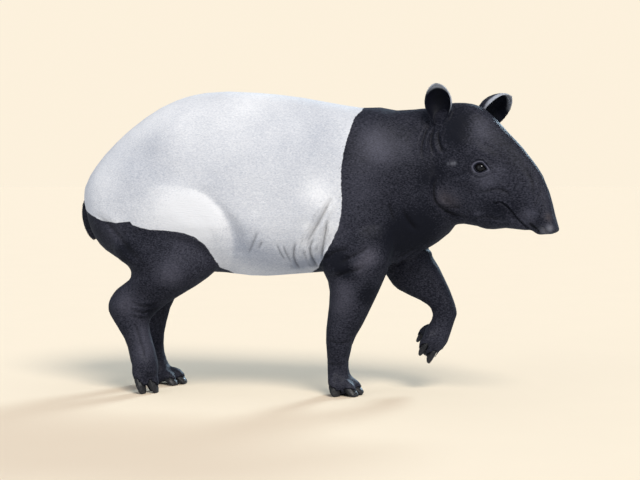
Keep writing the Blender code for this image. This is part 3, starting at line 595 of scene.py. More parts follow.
class Skin:
    """Arrays of a mesh's places, normals and edges, and the moves of a sculptor on them."""

    # How far each round of smoothing draws a vertex in, and pushes it out again.
    draw_in = 0.60
    push_out = -0.62

    def __init__(self, mesh: bpy.types.Mesh) -> None:
        """Read a mesh.

        Args:
            mesh: the mesh to read and to write back to.
        """
        self.mesh = mesh
        count = len(mesh.vertices)
        self.places = np.empty(count * 3, np.float32)
        mesh.vertices.foreach_get("co", self.places)
        self.places = self.places.reshape(-1, 3).astype(float)
        self.edges = np.empty(len(mesh.edges) * 2, np.int32)
        mesh.edges.foreach_get("vertices", self.edges)
        self.edges = self.edges.reshape(-1, 2)
        self.valence = np.maximum(np.bincount(self.edges.ravel(), minlength=count), 1)
        self.normals = self.read_normals()

    def read_normals(self) -> np.ndarray:
        """The mesh's vertex normals as it stands."""
        normals = np.empty(len(self.mesh.vertices) * 3, np.float32)
        self.mesh.vertex_normals.foreach_get("vector", normals)
        return normals.reshape(-1, 3).astype(float)

    def write(self) -> None:
        """Put the places back into the mesh and read its normals again."""
        self.mesh.vertices.foreach_set("co", self.places.astype(np.float32).ravel())
        self.mesh.update()
        self.normals = self.read_normals()

    def mean_of_neighbours(self, values: np.ndarray) -> np.ndarray:
        """Each vertex's mean of its neighbours' values.

        Args:
            values: a row of numbers for each vertex.

        Returns:
            Rows of the same shape.
        """
        first, second = self.edges.T
        count = len(values)
        sums = [
            np.bincount(first, column[second], count) + np.bincount(second, column[first], count)
            for column in values.T
        ]
        return np.stack(sums, 1) / self.valence[:, None]

    def relax(self, strength: np.ndarray) -> None:
        """Draw each vertex towards its neighbours' middle, as strongly as its share says."""
        middle = self.mean_of_neighbours(self.places)
        self.places += (middle - self.places) * strength[:, None]

    def tree(self) -> BVHTree:
        """A search tree over the mesh."""
        bm = bmesh.new()
        bm.from_mesh(self.mesh)
        made = BVHTree.FromBMesh(bm)
        bm.free()
        return made


def spot_on(tree: BVHTree, at: Place, side: int) -> tuple[Vector, Vector] | None:
    """Where a place of the side view lies on the hide.

    Args:
        tree: the hide's search tree.
        at: the place on the straight animal.
        side: -1 for the right side and 1 for the left.

    Returns:
        The outermost point there and its normal, or None past the hide's edge.
    """
    start = NECK.place(Vector((at[0], side * 0.6, at[1])))
    goal = NECK.place(Vector((at[0], 0.0, at[1])))
    point, normal, _, _ = tree.ray_cast(start, (goal - start).normalized())
    return None if point is None else (point, normal)


def path_on(tree: BVHTree, path: Iterable[Place], side: int) -> np.ndarray:
    """Where a path of the side view lies on the hide, with a row for each place that meets it."""
    hits = [spot_on(tree, tuple(at), side) for at in path]
    return np.array([hit[0] for hit in hits if hit])


def bell(gap: np.ndarray, reach: float) -> np.ndarray:
    """A soft bell: 1 where the gap is nothing, and about a third at the reach."""
    return np.exp(-((gap / reach) ** 2))


@dataclass(frozen=True)
class LidRing:
    """A ring round an eye's opening, at a share of the opening's size, and what it adds there.

    It shows above and below the eye by shares of its own.
    """

    amount: float
    at: float
    reach: float
    above: float = 1.0
    below: float = 1.0

    def add(self, share: np.ndarray, up: np.ndarray) -> np.ndarray:
        """What the ring adds at each place, by its share of the opening and its height."""
        return self.amount * bell(share - self.at, self.reach) * np.where(up > 0, self.above, self.below)


# The rims and folds of the lids, as rises in metres.
LID_FOLDS = (
    LidRing(0.0016, 1.14, 0.15),
    LidRing(-0.0030, 1.62, 0.16, below=0.10),
    LidRing(0.0020, 2.05, 0.25),
    LidRing(-0.0016, 2.60, 0.22, above=0.0),
)

# The pale ring round the lids and their dark rims, as tones.
LID_TONES = (LidRing(1.9, 1.46, 0.15), LidRing(-2.2, 1.0, 0.20))


@dataclass
class EyeSetting:
    """Where an eye sits, and the sizes of the opening between its lids.

    The axes are ahead along the opening, up across it, and out of the head.
    """

    name: str
    side: int
    centre: Vector = field(default_factory=Vector)
    ahead: Vector = field(default_factory=Vector)
    upward: Vector = field(default_factory=Vector)
    outward: Vector = field(default_factory=Vector)
    radius: float = 0.0205
    half_length: float = 0.0198
    rise: float = 0.0155
    fall: float = 0.0138
    front_corner: float = 1.22
    back_corner: float = 1.9
    tilt: float = math.radians(-12)
    lid: float = 0.0030
    blend: float = 0.004
    behind_lids: float = 0.0045
    ring_inner: float = 0.036
    ring_outer: float = 0.060
    reach: float = 0.062

    def aim(self, skin: Skin) -> None:
        """Find the eye's place in the frame and its axes from the hide round it.

        Args:
            skin: the hide before its lids are made.
        """
        low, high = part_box(self.name)
        self.centre = (low + high) / 2
        gaps = np.linalg.norm(skin.places - np.array(self.centre), axis=1)
        ring = (gaps > 0.040) & (gaps < self.reach)
        sideways = NECK.ahead().cross(Vector((0, 0, 1))) * -self.side
        ring &= skin.normals @ np.array(sideways) > 0.3
        self.outward = Vector(skin.normals[ring].mean(axis=0)).normalized()
        ahead = NECK.ahead()
        ahead = (ahead - self.outward * ahead.dot(self.outward)).normalized()
        upward = self.outward.cross(ahead)
        if upward.z < 0:
            upward.negate()
        self.ahead = ahead * math.cos(self.tilt) + upward * math.sin(self.tilt)
        self.upward = upward * math.cos(self.tilt) - ahead * math.sin(self.tilt)

    def local(self, places: np.ndarray) -> tuple[np.ndarray, np.ndarray, np.ndarray]:
        """Places as distances ahead, up and out from the eye's middle."""
        from_middle = places - np.array(self.centre)
        axes = (self.ahead, self.upward, self.outward)
        return tuple(from_middle @ np.array(axis) for axis in axes)

    def opening(self, along: np.ndarray, up: np.ndarray) -> np.ndarray:
        """How far places lie out from the opening's middle, where its edge is at 1.

        Args:
            along: distances ahead from the eye's middle.
            up: distances up from it.

        Returns:
            A number for each place.
        """
        ahead = smooth_share(along, -0.010, 0.012)
        corner = self.back_corner + (self.front_corner - self.back_corner) * ahead
        half_height = np.where(up > 0, self.rise, self.fall)
        share = np.abs(along / self.half_length) ** corner + np.abs(up / half_height) ** corner
        return share ** (1 / corner)

    def sculpt_lids(self, skin: Skin) -> None:
        """Shape the lids, their rim and the folds round them into the hide.

        Args:
            skin: the hide, dense enough round the eye.
        """
        along, up, out = self.local(skin.places)
        across = np.hypot(along, up)
        near = (across < self.reach) & (out > -0.012) & (skin.normals @ np.array(self.outward) > -0.2)
        along, up, out, across = along[near], up[near], out[near], across[near]
        ring = (across > self.ring_inner) & (across < self.ring_outer)
        terms = np.stack([np.ones_like(along), along, up, along**2, up**2, along * up], 1)
        fit, *_ = np.linalg.lstsq(terms[ring], out[ring], rcond=None)
        own = smooth_share(across, self.ring_inner, 0.052)
        base = (terms @ fit) * (1 - own) + out * own

        share = self.opening(along, up)
        ball = np.sqrt(np.maximum(self.radius**2 - across**2, 0.0))
        over = np.sqrt(np.maximum((self.radius + self.lid) ** 2 - across**2, 0.0))
        over = np.where(across < self.radius + self.lid, over, -1.0)
        draped = 0.5 * (base + over + np.sqrt((base - over) ** 2 + self.blend**2))
        draped = np.where(over > 0, draped, base + 0.5 * self.blend * np.exp(-(across - self.radius) / 0.01))
        lids = draped + sum(fold.add(share, up) for fold in LID_FOLDS)
        behind = ball - self.behind_lids
        edge = smooth_share(share, 0.90, 1.02)
        shaped = behind * (1 - edge) + lids * edge
        keep = smooth_share(across, 0.050, 0.061)
        moved = shaped * (1 - keep) + out * keep
        skin.places[near] += (moved - out)[:, None] * np.array(self.outward)


@dataclass
class Hide:
    """The one skin of the whole animal, under its coat."""

    voxel: float = 0.0040
    swelling: float = 0.0005
    depth: float = 0.0022
    triangles: int = 192_000
    muffle: tuple[float, float, float] = (0.822, 0.0, 0.604)
    muffle_drop: float = 0.010
    muffle_reach: float = 0.024
    margin: float = 0.008
    nose_pad: tuple[float, float, float] = (0.880, -0.018, 0.612)
    pad_inner: float = 0.016
    pad_outer: float = 0.034
    saddle_edge: float = 0.016
    cup_shade: float = 1.2
    unwrap_share: float = 0.03
    nostril_sink: float = 0.0085
    nostril_reach: float = 0.0050
    wing_rise: float = 0.0014
    wing_gap: float = 0.0105
    wing_reach: float = 0.004
    nostril_shade: float = 0.0055
    border_band: float = 0.012
    eye_band: float = 0.036
    eyes: tuple[EyeSetting, ...] = (EyeSetting("eye_right", -1), EyeSetting("eye_left", 1))
    obj: bpy.types.Object | None = None
    skin: Skin | None = None
    regions: np.ndarray | None = None
    proxy: bpy.types.Mesh | None = None
    marks: dict[str, np.ndarray] = field(default_factory=dict)

    # How many rounds of smoothing each region gets.
    smoothing = {
        Region.TRUNK: 34, Region.NECK: 30, Region.HEAD: 8, Region.EAR: 5,
        Region.TAIL: 10, Region.UPPER_LEG: 18, Region.LOWER_LEG: 6,
    }
    # How long each region's edges are after thinning, in millimetres.
    edge_lengths = {
        Region.TRUNK: 9.0, Region.NECK: 7.0, Region.HEAD: 3.0, Region.EAR: 3.0,
        Region.TAIL: 4.5, Region.UPPER_LEG: 6.5, Region.LOWER_LEG: 4.0,
    }
    # The same where the saddle's edge, a fold or an eye crosses a region.
    border_edges, fold_edges, eye_edges = 4.5, 3.4, 1.3

    def flesh(self) -> dict[str, bpy.types.Object]:
        """The frame's solids that this skin stands for."""
        return {n: o for n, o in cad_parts.items() if "hoof" not in n and "eye" not in n}

    def build(self) -> bpy.types.Object:
        """Make the skin.

        Returns:
            The finished piece, with its attributes, riding on the body.
        """
        self.fuse()
        self.smooth()
        self.proxy = self.make_proxy()
        self.refine()
        self.sculpt()
        self.thin()
        self.colour()
        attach(self.obj, BODY)
        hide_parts(*self.flesh())
        log.info("hide: %d triangles", len(self.obj.data.polygons))
        return self.obj

    def fuse(self) -> None:
        """Join merged copies of the flesh solids into one even mesh without their gaps."""
        whole = bmesh.new()
        for name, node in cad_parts.items():
            if "hoof" in name:
                continue
            bm = bmesh.new()
            bm.from_mesh(node.data)
            bmesh.ops.remove_doubles(bm, verts=bm.verts, dist=1e-6)
            bm.normal_update()
            for vertex in bm.verts:
                vertex.co += vertex.normal * self.swelling
            part = bpy.data.meshes.new(name + "_copy")
            bm.to_mesh(part)
            bm.free()
            whole.from_mesh(part)
            bpy.data.meshes.remove(part)
        mesh = bpy.data.meshes.new("hide")
        whole.to_mesh(mesh)
        whole.free()
        self.obj = link(bpy.data.objects.new("hide", mesh))
        remesh = self.obj.modifiers.new("even", "REMESH")
        remesh.mode = "VOXEL"
        remesh.voxel_size = self.voxel
        apply_modifiers(self.obj)
        self.keep_outer_surface()

    def keep_outer_surface(self) -> None:
        """Drop whatever the fusing left inside."""
        bm = bmesh.new()
        bm.from_mesh(self.obj.data)
        bm.verts.ensure_lookup_table()
        labels = np.full(len(bm.verts), -1)
        sizes = []
        for seed in bm.verts:
            if labels[seed.index] >= 0:
                continue
            labels[seed.index] = len(sizes)
            front, size = [seed], 0
            while front:
                size += 1
                for edge in front.pop().link_edges:
                    for vertex in edge.verts:
                        if labels[vertex.index] < 0:
                            labels[vertex.index] = len(sizes)
                            front.append(vertex)
            sizes.append(size)
        largest = int(np.argmax(sizes))
        scraps = [v for v in bm.verts if labels[v.index] != largest]
        bmesh.ops.delete(bm, geom=scraps, context="VERTS")
        bm.to_mesh(self.obj.data)
        bm.free()

    def find_regions(self) -> np.ndarray:
        """Soft shares of each region for each vertex, from the nearest solid of the frame."""
        bm = bmesh.new()
        owners: list[int] = []
        for name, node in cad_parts.items():
            if "hoof" not in name:
                bm.from_mesh(node.data)
                owners += [Region.of_node(name).value] * (len(bm.faces) - len(owners))
        tree = BVHTree.FromBMesh(bm)
        bm.free()
        shares = np.zeros((len(self.skin.places), len(Region)))
        for index, place in enumerate(self.skin.places):
            _, _, face, _ = tree.find_nearest(place)
            shares[index, owners[face]] = 1.0
        for _ in range(10):
            shares = 0.3 * shares + 0.7 * self.skin.mean_of_neighbours(shares)
        return shares

    def smooth(self) -> None:
        """Take the facets out, most on the broad trunk and least where forms are small."""
        self.skin = Skin(self.obj.data)
        self.regions = self.find_regions()
        rounds = self.regions @ np.array([self.smoothing[region] for region in Region], float)
        for turn in range(int(rounds.max()) + 1):
            strength = np.clip(rounds - turn, 0, 1)
            self.skin.relax(self.skin.draw_in * strength)
            self.skin.relax(self.skin.push_out * strength)
        self.skin.write()

    def make_proxy(self) -> bpy.types.Mesh:
        """A light copy of the smooth skin, unwrapped, that gives the coat its map."""
        copy = link(bpy.data.objects.new("hide_unwrap", self.obj.data.copy()))
        fewer = copy.modifiers.new("fewer", "DECIMATE")
        fewer.ratio = self.unwrap_share
        apply_modifiers(copy)
        bpy.context.view_layer.objects.active = copy
        copy.select_set(True)
        bpy.ops.object.mode_set(mode="EDIT")
        bpy.ops.mesh.select_all(action="SELECT")
        bpy.ops.uv.smart_project(angle_limit=math.radians(66), island_margin=0.004)
        bpy.ops.object.mode_set(mode="OBJECT")
        mesh = copy.data
        bpy.data.objects.remove(copy)
        return mesh

    def refine(self) -> None:
        """Split the faces where the face's details need them."""
        for eye in self.eyes:
            eye.aim(self.skin)
        tree = self.skin.tree()
        tip_of_nose = (0.835, 0.612)
        mouth = [place for side in (-1, 1) for place in path_on(tree, MOUTH.path + (tip_of_nose,), side)]
        bm = bmesh.new()
        bm.from_mesh(self.obj.data)
        for eye_reach, mouth_reach in ((0.052, 0.022), (0.034, 0.0)):
            spheres = [(np.array(eye.centre), eye_reach) for eye in self.eyes]
            spheres += [(place, mouth_reach) for place in mouth]
            places = np.array([v.co for v in bm.verts])
            near = np.zeros(len(places), bool)
            for centre, radius in spheres:
                near |= np.linalg.norm(places - centre, axis=1) < radius
            bm.verts.ensure_lookup_table()
            edges = {e for i in np.flatnonzero(near) for e in bm.verts[i].link_edges}
            bmesh.ops.subdivide_edges(bm, edges=list(edges), cuts=1, use_grid_fill=True)
        bmesh.ops.triangulate(bm, faces=[f for f in bm.faces if len(f.verts) > 4])
        bm.to_mesh(self.obj.data)
        bm.free()
        self.skin = Skin(self.obj.data)
        self.regions = self.find_regions()

    def sculpt(self) -> None:
        """Press the folds in, raise the muscles and shape the lids."""
        skin = self.skin
        tree = skin.tree()
        push = np.full(len(skin.places), -self.depth)
        for swell in SWELLS:
            for side in swell.side.value:
                self.raise_swell(push, tree, swell, side)
        for crease in CREASES:
            for side in crease.side.value:
                self.press_crease(push, tree, crease, side)
        skin.places += skin.normals * push[:, None]
        for eye in self.eyes:
            eye.sculpt_lids(skin)
        self.open_nostrils(tree)
        self.fill_muffle()
        self.stay_inside()
        skin.places[:, 2] = np.maximum(skin.places[:, 2], 0.0004)
        skin.write()

    def raise_swell(self, push: np.ndarray, tree: BVHTree, swell: Swell, side: int) -> None:
        """Add one swell to the push along the normals.

        Args:
            push: what each vertex moves, changed in place.
            tree: the skin's search tree.
            swell: the swell.
            side: -1 for the right side and 1 for the left.
        """
        hit = spot_on(tree, swell.at, side)
        if hit is None:
            log.warning("%s: off the hide", swell.name)
            return
        point, normal = hit
        outward = np.array((normal * 0.5 + Vector((0, side, 0)) * 0.5).normalized())
        ahead = NECK.ahead() if swell.at[0] > NECK.start_x + NECK.length / 2 else Vector((1, 0, 0))
        ahead = np.array(ahead)
        turn = math.radians(swell.turn)
        up = np.array((0.0, 0.0, 1.0))
        along = ahead * math.cos(turn) + up * math.sin(turn)
        across = up * math.cos(turn) - ahead * math.sin(turn)
        away = self.skin.places - np.array(point)
        reach = np.hypot(away @ along / swell.reach[0], away @ across / swell.reach[1])
        deep = np.abs(away @ outward) < 1.2 * max(swell.reach)
        facing = smooth_share(self.skin.normals @ outward, 0.0, 0.45)
        push += np.where(deep, swell.height * np.clip(1 - reach**2, 0, 1) ** 2 * facing, 0.0)

    def press_crease(self, push: np.ndarray, tree: BVHTree, crease: Crease, side: int) -> None:
        """Add one crease to the push along the normals.

        Args:
            push: what each vertex moves, changed in place.
            tree: the skin's search tree.
            crease: the crease.
            side: -1 for the right side and 1 for the left.
        """
        path = path_on(tree, round_path(crease.path), side)
        if len(path) < 2:
            log.warning("%s: off the hide", crease.name)
            return
        margin = 4 * crease.width
        near = ((self.skin.places > path.min(0) - margin) & (self.skin.places < path.max(0) + margin)).all(1)
        gap, along = distance_to_path(self.skin.places[near], path)
        fade = np.clip(np.minimum(along, 1 - along) / crease.taper, 0.0, 1.0) ** 0.8
        groove = bell(gap, crease.width)
        ridge = bell(gap - 2.1 * crease.width, 0.9 * crease.width)
        push[near] += fade * crease.depth * (crease.lip * ridge - groove)

    def open_nostrils(self, tree: BVHTree) -> None:
        """Sink the comma-shaped nostrils near the tip of the snout, each with a raised wing."""
        for side in (-1, 1):
            gap, _ = distance_to_path(self.skin.places, path_on(tree, NOSTRIL, side))
            sink = self.nostril_sink * bell(gap, self.nostril_reach)
            sink -= self.wing_rise * bell(gap - self.wing_gap, self.wing_reach)
            self.skin.places -= self.skin.normals * sink[:, None]

    def stay_inside(self) -> None:
        """Press what bulges past the frame's sides softly back in."""
        limit = min(-CAD_BOX[0][1], CAD_BOX[1][1]) - self.depth
        across = self.skin.places[:, 1]
        past = np.maximum(np.abs(across) - (limit - self.margin), 0.0)
        eased = self.margin * (1 - np.exp(-past / self.margin))
        self.skin.places[:, 1] -= np.sign(across) * (past - eased)

    def fill_muffle(self) -> None:
        """Let the underside of the snout's tip hang a little, behind the nose pad."""
        middle = np.array(NECK.place(Vector(self.muffle)))
        gap = np.linalg.norm(self.skin.places - middle, axis=1)
        down = smooth_share(-self.skin.normals[:, 2], -0.5, 0.3)
        self.skin.places[:, 2] -= self.muffle_drop * bell(gap, self.muffle_reach) * down

    def thin(self) -> None:
        """Bring the skin down to its number of triangles, denser where its forms are finer."""
        lengths = self.regions @ np.array([self.edge_lengths[region] for region in Region])
        border, _ = distance_to_path(self.skin.places[:, ::2], np.array(SADDLE + SADDLE[:1]))
        lengths = np.where(border < self.border_band, np.minimum(lengths, self.border_edges), lengths)
        by_fold = self.mark_folds(self.skin.tree(), 1.8, shaded=False) > 0.25
        lengths = np.where(by_fold, np.minimum(lengths, self.fold_edges), lengths)
        for eye in self.eyes:
            gap = np.linalg.norm(self.skin.places - np.array(eye.centre), axis=1)
            lengths = np.where(gap < self.eye_band, self.eye_edges, lengths)
        group = self.obj.vertex_groups.new(name="coarse")
        weights = np.round(1 - 1.0 / np.maximum(lengths, 1.0), 2)
        for value in np.unique(weights):
            group.add(np.flatnonzero(weights == value).tolist(), float(value), "REPLACE")
        self.obj.data.calc_loop_triangles()
        fewer = self.obj.modifiers.new("fewer", "DECIMATE")
        fewer.ratio = self.triangles / len(self.obj.data.loop_triangles)
        fewer.vertex_group = group.name
        fewer.vertex_group_factor = 1.0
        apply_modifiers(self.obj)
        self.obj.vertex_groups.clear()
        bm = bmesh.new()
        bm.from_mesh(self.obj.data)
        bmesh.ops.triangulate(bm, faces=bm.faces)
        bm.to_mesh(self.obj.data)
        bm.free()
        self.skin = Skin(self.obj.data)
        self.regions = self.find_regions()

    def colour(self) -> None:
        """Write the markings, the painted light and shade, and the regions that the finishes read."""
        tree = self.skin.tree()
        pale = self.mark_saddle()
        rim, cup = self.mark_ears()
        tone, warm = self.mark_patches(tree)
        # Painted light on the thigh's front, and painted shade inside the ears' cups.
        tone += THIGH_PAINTED_LIGHT.shade(self.skin.places[:, ::2]) * pale - self.cup_shade * cup
        # The pale spots behind the eyes are the hide's own; those on the nose pad are a painted highlight.
        for spot in PALE_SPOTS_AND_NOSE_HIGHLIGHT:
            for side in spot.side.value:
                rim = np.maximum(rim, spot.tone * self.nearness(tree, spot, side))
        round_eyes, bare = self.mark_eyes()
        pad = np.array(NECK.place(Vector(self.nose_pad)))
        from_pad = np.linalg.norm(self.skin.places - pad, axis=1)
        read = {
            "pale": pale, "tone": tone + round_eyes, "warm": warm, "rim": rim,
            "bare": np.maximum(bare, smooth_share(-from_pad, -self.pad_outer, -self.pad_inner)),
            # Painted shade in the folds and the nostrils.
            "fold": np.maximum(self.mark_folds(tree, 0.55, shaded=True), self.mark_nostrils(tree)),
            "head": self.regions[:, Region.HEAD.value] + self.regions[:, Region.EAR.value],
            "leg": self.regions[:, Region.UPPER_LEG.value] + self.regions[:, Region.LOWER_LEG.value],
        }
        for name, values in read.items():
            set_attribute(self.obj.data, name, values)
        self.marks = {**read, "dark": 1 - pale, "by_fold": self.mark_folds(tree, 2.2, shaded=False)}

    def mark_saddle(self) -> np.ndarray:
        """Lay the pale saddle over the trunk and the thighs' tops, with a soft edge.

        Returns:
            How much of it each vertex has.
        """
        side_view = self.skin.places[:, ::2]
        gap, _ = distance_to_path(side_view, np.array(SADDLE + SADDLE[:1]))
        inside = inside_outline(side_view, np.array(SADDLE))
        legs = self.regions[:, Region.LOWER_LEG.value] + self.regions[:, Region.TAIL.value]
        saddle = np.clip(0.5 + np.where(inside, gap, -gap) / self.saddle_edge, 0, 1)
        return saddle * (1 - np.clip(legs * 2, 0, 1))

    def nearness(self, tree: BVHTree, patch: Patch, side: int) -> np.ndarray:
        """How near each vertex lies to a patch's middle: 1 at it and 0 far away.

        Args:
            tree: the skin's search tree.
            patch: the patch.
            side: -1 for the right side and 1 for the left.

        Returns:
            A number for each vertex.
        """
        hit = spot_on(tree, patch.at, side)
        if hit is None:
            return np.zeros(len(self.skin.places))
        return bell(np.linalg.norm(self.skin.places - np.array(hit[0]), axis=1), patch.radius)

    def mark_patches(self, tree: BVHTree) -> tuple[np.ndarray, np.ndarray]:
        """Add the soft patches up.

        Args:
            tree: the skin's search tree.

        Returns:
            The tone and the warmth that they give each vertex.
        """
        tone, warm = np.zeros(len(self.skin.places)), np.zeros(len(self.skin.places))
        for patch in TONE_AND_PAINTED_LIGHT_PATCHES:
            for side in patch.side.value:
                share = self.nearness(tree, patch, side)
                tone += patch.tone * share
                warm += patch.warm * share
        return tone, warm

    def mark_eyes(self) -> tuple[np.ndarray, np.ndarray]:
        """The tone round the eyes, and how bare of hair the lids are.

        Returns:
            A pale ring and the dark rims of the lids as a tone for each vertex, and its bareness.
        """
        tone, bare = np.zeros(len(self.skin.places)), np.zeros(len(self.skin.places))
        for eye in self.eyes:
            along, up, out = eye.local(self.skin.places)
            share = eye.opening(along, up)
            close = np.abs(out) < 0.05
            tone += np.where(close, sum(ring.add(share, up) for ring in LID_TONES), 0)
            bare = np.maximum(bare, np.where(close, 1 - smooth_share(share, 1.15, 1.6), 0))
        return tone, bare

    def mark_folds(self, tree: BVHTree, spread: float, shaded: bool) -> np.ndarray:
        """How deep in a fold each vertex lies, from 0 to 1.

        Args:
            tree: the skin's search tree.
            spread: how wide the mark is beside the fold itself.
            shaded: whether each fold counts by how dark its painted shade is.

        Returns:
            A number for each vertex.
        """
        fold = np.zeros(len(self.skin.places))
        for crease in CREASES:
            for side in crease.side.value:
                path = path_on(tree, round_path(crease.path), side)
                if len(path) < 2:
                    continue
                reach = spread * crease.width
                low, high = path.min(0) - 3 * reach, path.max(0) + 3 * reach
                near = ((self.skin.places > low) & (self.skin.places < high)).all(1)
                gap, along = distance_to_path(self.skin.places[near], path)
                fade = np.clip(np.minimum(along, 1 - along) / crease.taper, 0.0, 1.0)
                share = (crease.shade if shaded else 1.0) * fade * bell(gap, reach)
                fold[near] = np.maximum(fold[near], share)
        return fold

    def mark_nostrils(self, tree: BVHTree) -> np.ndarray:
        """How deep in a nostril each vertex lies, from 0 to 1.

        Args:
            tree: the skin's search tree.

        Returns:
            A number for each vertex.
        """
        depth = np.zeros(len(self.skin.places))
        for side in (-1, 1):
            gap, _ = distance_to_path(self.skin.places, path_on(tree, NOSTRIL, side))
            depth = np.maximum(depth, bell(gap, self.nostril_shade))
        return depth

    def mark_ears(self) -> tuple[np.ndarray, np.ndarray]:
        """Find the pale rims of the ears, and the insides of their cups, which get painted shade.

        Returns:
            How much each vertex belongs to a rim, and to the inside of a cup.
        """
        rim, cup = np.zeros(len(self.skin.places)), np.zeros(len(self.skin.places))
        ears = smooth_share(self.regions[:, Region.EAR.value], 0.25, 0.6)
        for ear in EARS:
            low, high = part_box(ear.node)
            own = (ears > 0) & ((self.skin.places > np.array(low) - 0.006).all(1))
            own &= (self.skin.places < np.array(high) + 0.006).all(1)
            place = ear.local(self.skin.places[own])
            edge = place[:, 0] - 0.30 + 0.42 * (2 * place[:, 2] - 1)
            lift = smooth_share(place[:, 2], 0.30, 0.62)
            tip = smooth_share(place[:, 2], 0.66, 0.92)
            plain = smooth_share(place[:, 1] * ear.side, 0.05, 0.45)
            plain *= 1 - smooth_share(place[:, 2], 0.74, 0.96)
            band = smooth_share(edge + 0.14 * lift + ear.pale_tip * tip, -0.26, -0.06)
            rim[own] = band * lift * ears[own] * (1 - plain)
            turned = np.array(Matrix.Rotation(-NECK.turn, 3, "Z")) @ ear.turn()
            facing = self.skin.normals[own] @ turned
            inward = -(facing[:, 0] * (place[:, 0] - 0.15) + facing[:, 1] * place[:, 1])
            cup[own] = smooth_share(inward, 0.02, 0.30) * (1 - rim[own]) * ears[own]
        return rim, cup


@dataclass(frozen=True)
class CoatPatch:
    """A stretch of the coat: how dense, long, wide and raised its tufts are."""

    name: str
    regions: tuple[Region, ...]
    spacing: float
    length: float
    width: float
    lift: float
    seed: int
    bend: float = 0.15
    only: str = ""


COAT = (
    CoatPatch("coat_saddle", (Region.TRUNK,), 0.0054, 0.0125, 0.0021, 9, 1, only="pale"),
    CoatPatch("coat_shoulders", (Region.TRUNK, Region.NECK), 0.0050, 0.0115, 0.0020, 9, 2, only="dark"),
    CoatPatch("coat_head", (Region.HEAD,), 0.0036, 0.0066, 0.0012, 6, 3),
    CoatPatch("coat_thighs", (Region.UPPER_LEG,), 0.0050, 0.0110, 0.0019, 9, 4),
    CoatPatch("coat_shanks", (Region.LOWER_LEG,), 0.0042, 0.0080, 0.0014, 9, 5),
    CoatPatch("coat_tail", (Region.TAIL,), 0.0034, 0.0120, 0.0015, 14, 6),
    CoatPatch("coat_ears", (Region.EAR,), 0.0034, 0.0060, 0.0010, 11, 7),
    CoatPatch("ear_fringe", (Region.EAR,), 0.0016, 0.0072, 0.0009, 26, 8, 0.3, "rim"),
)


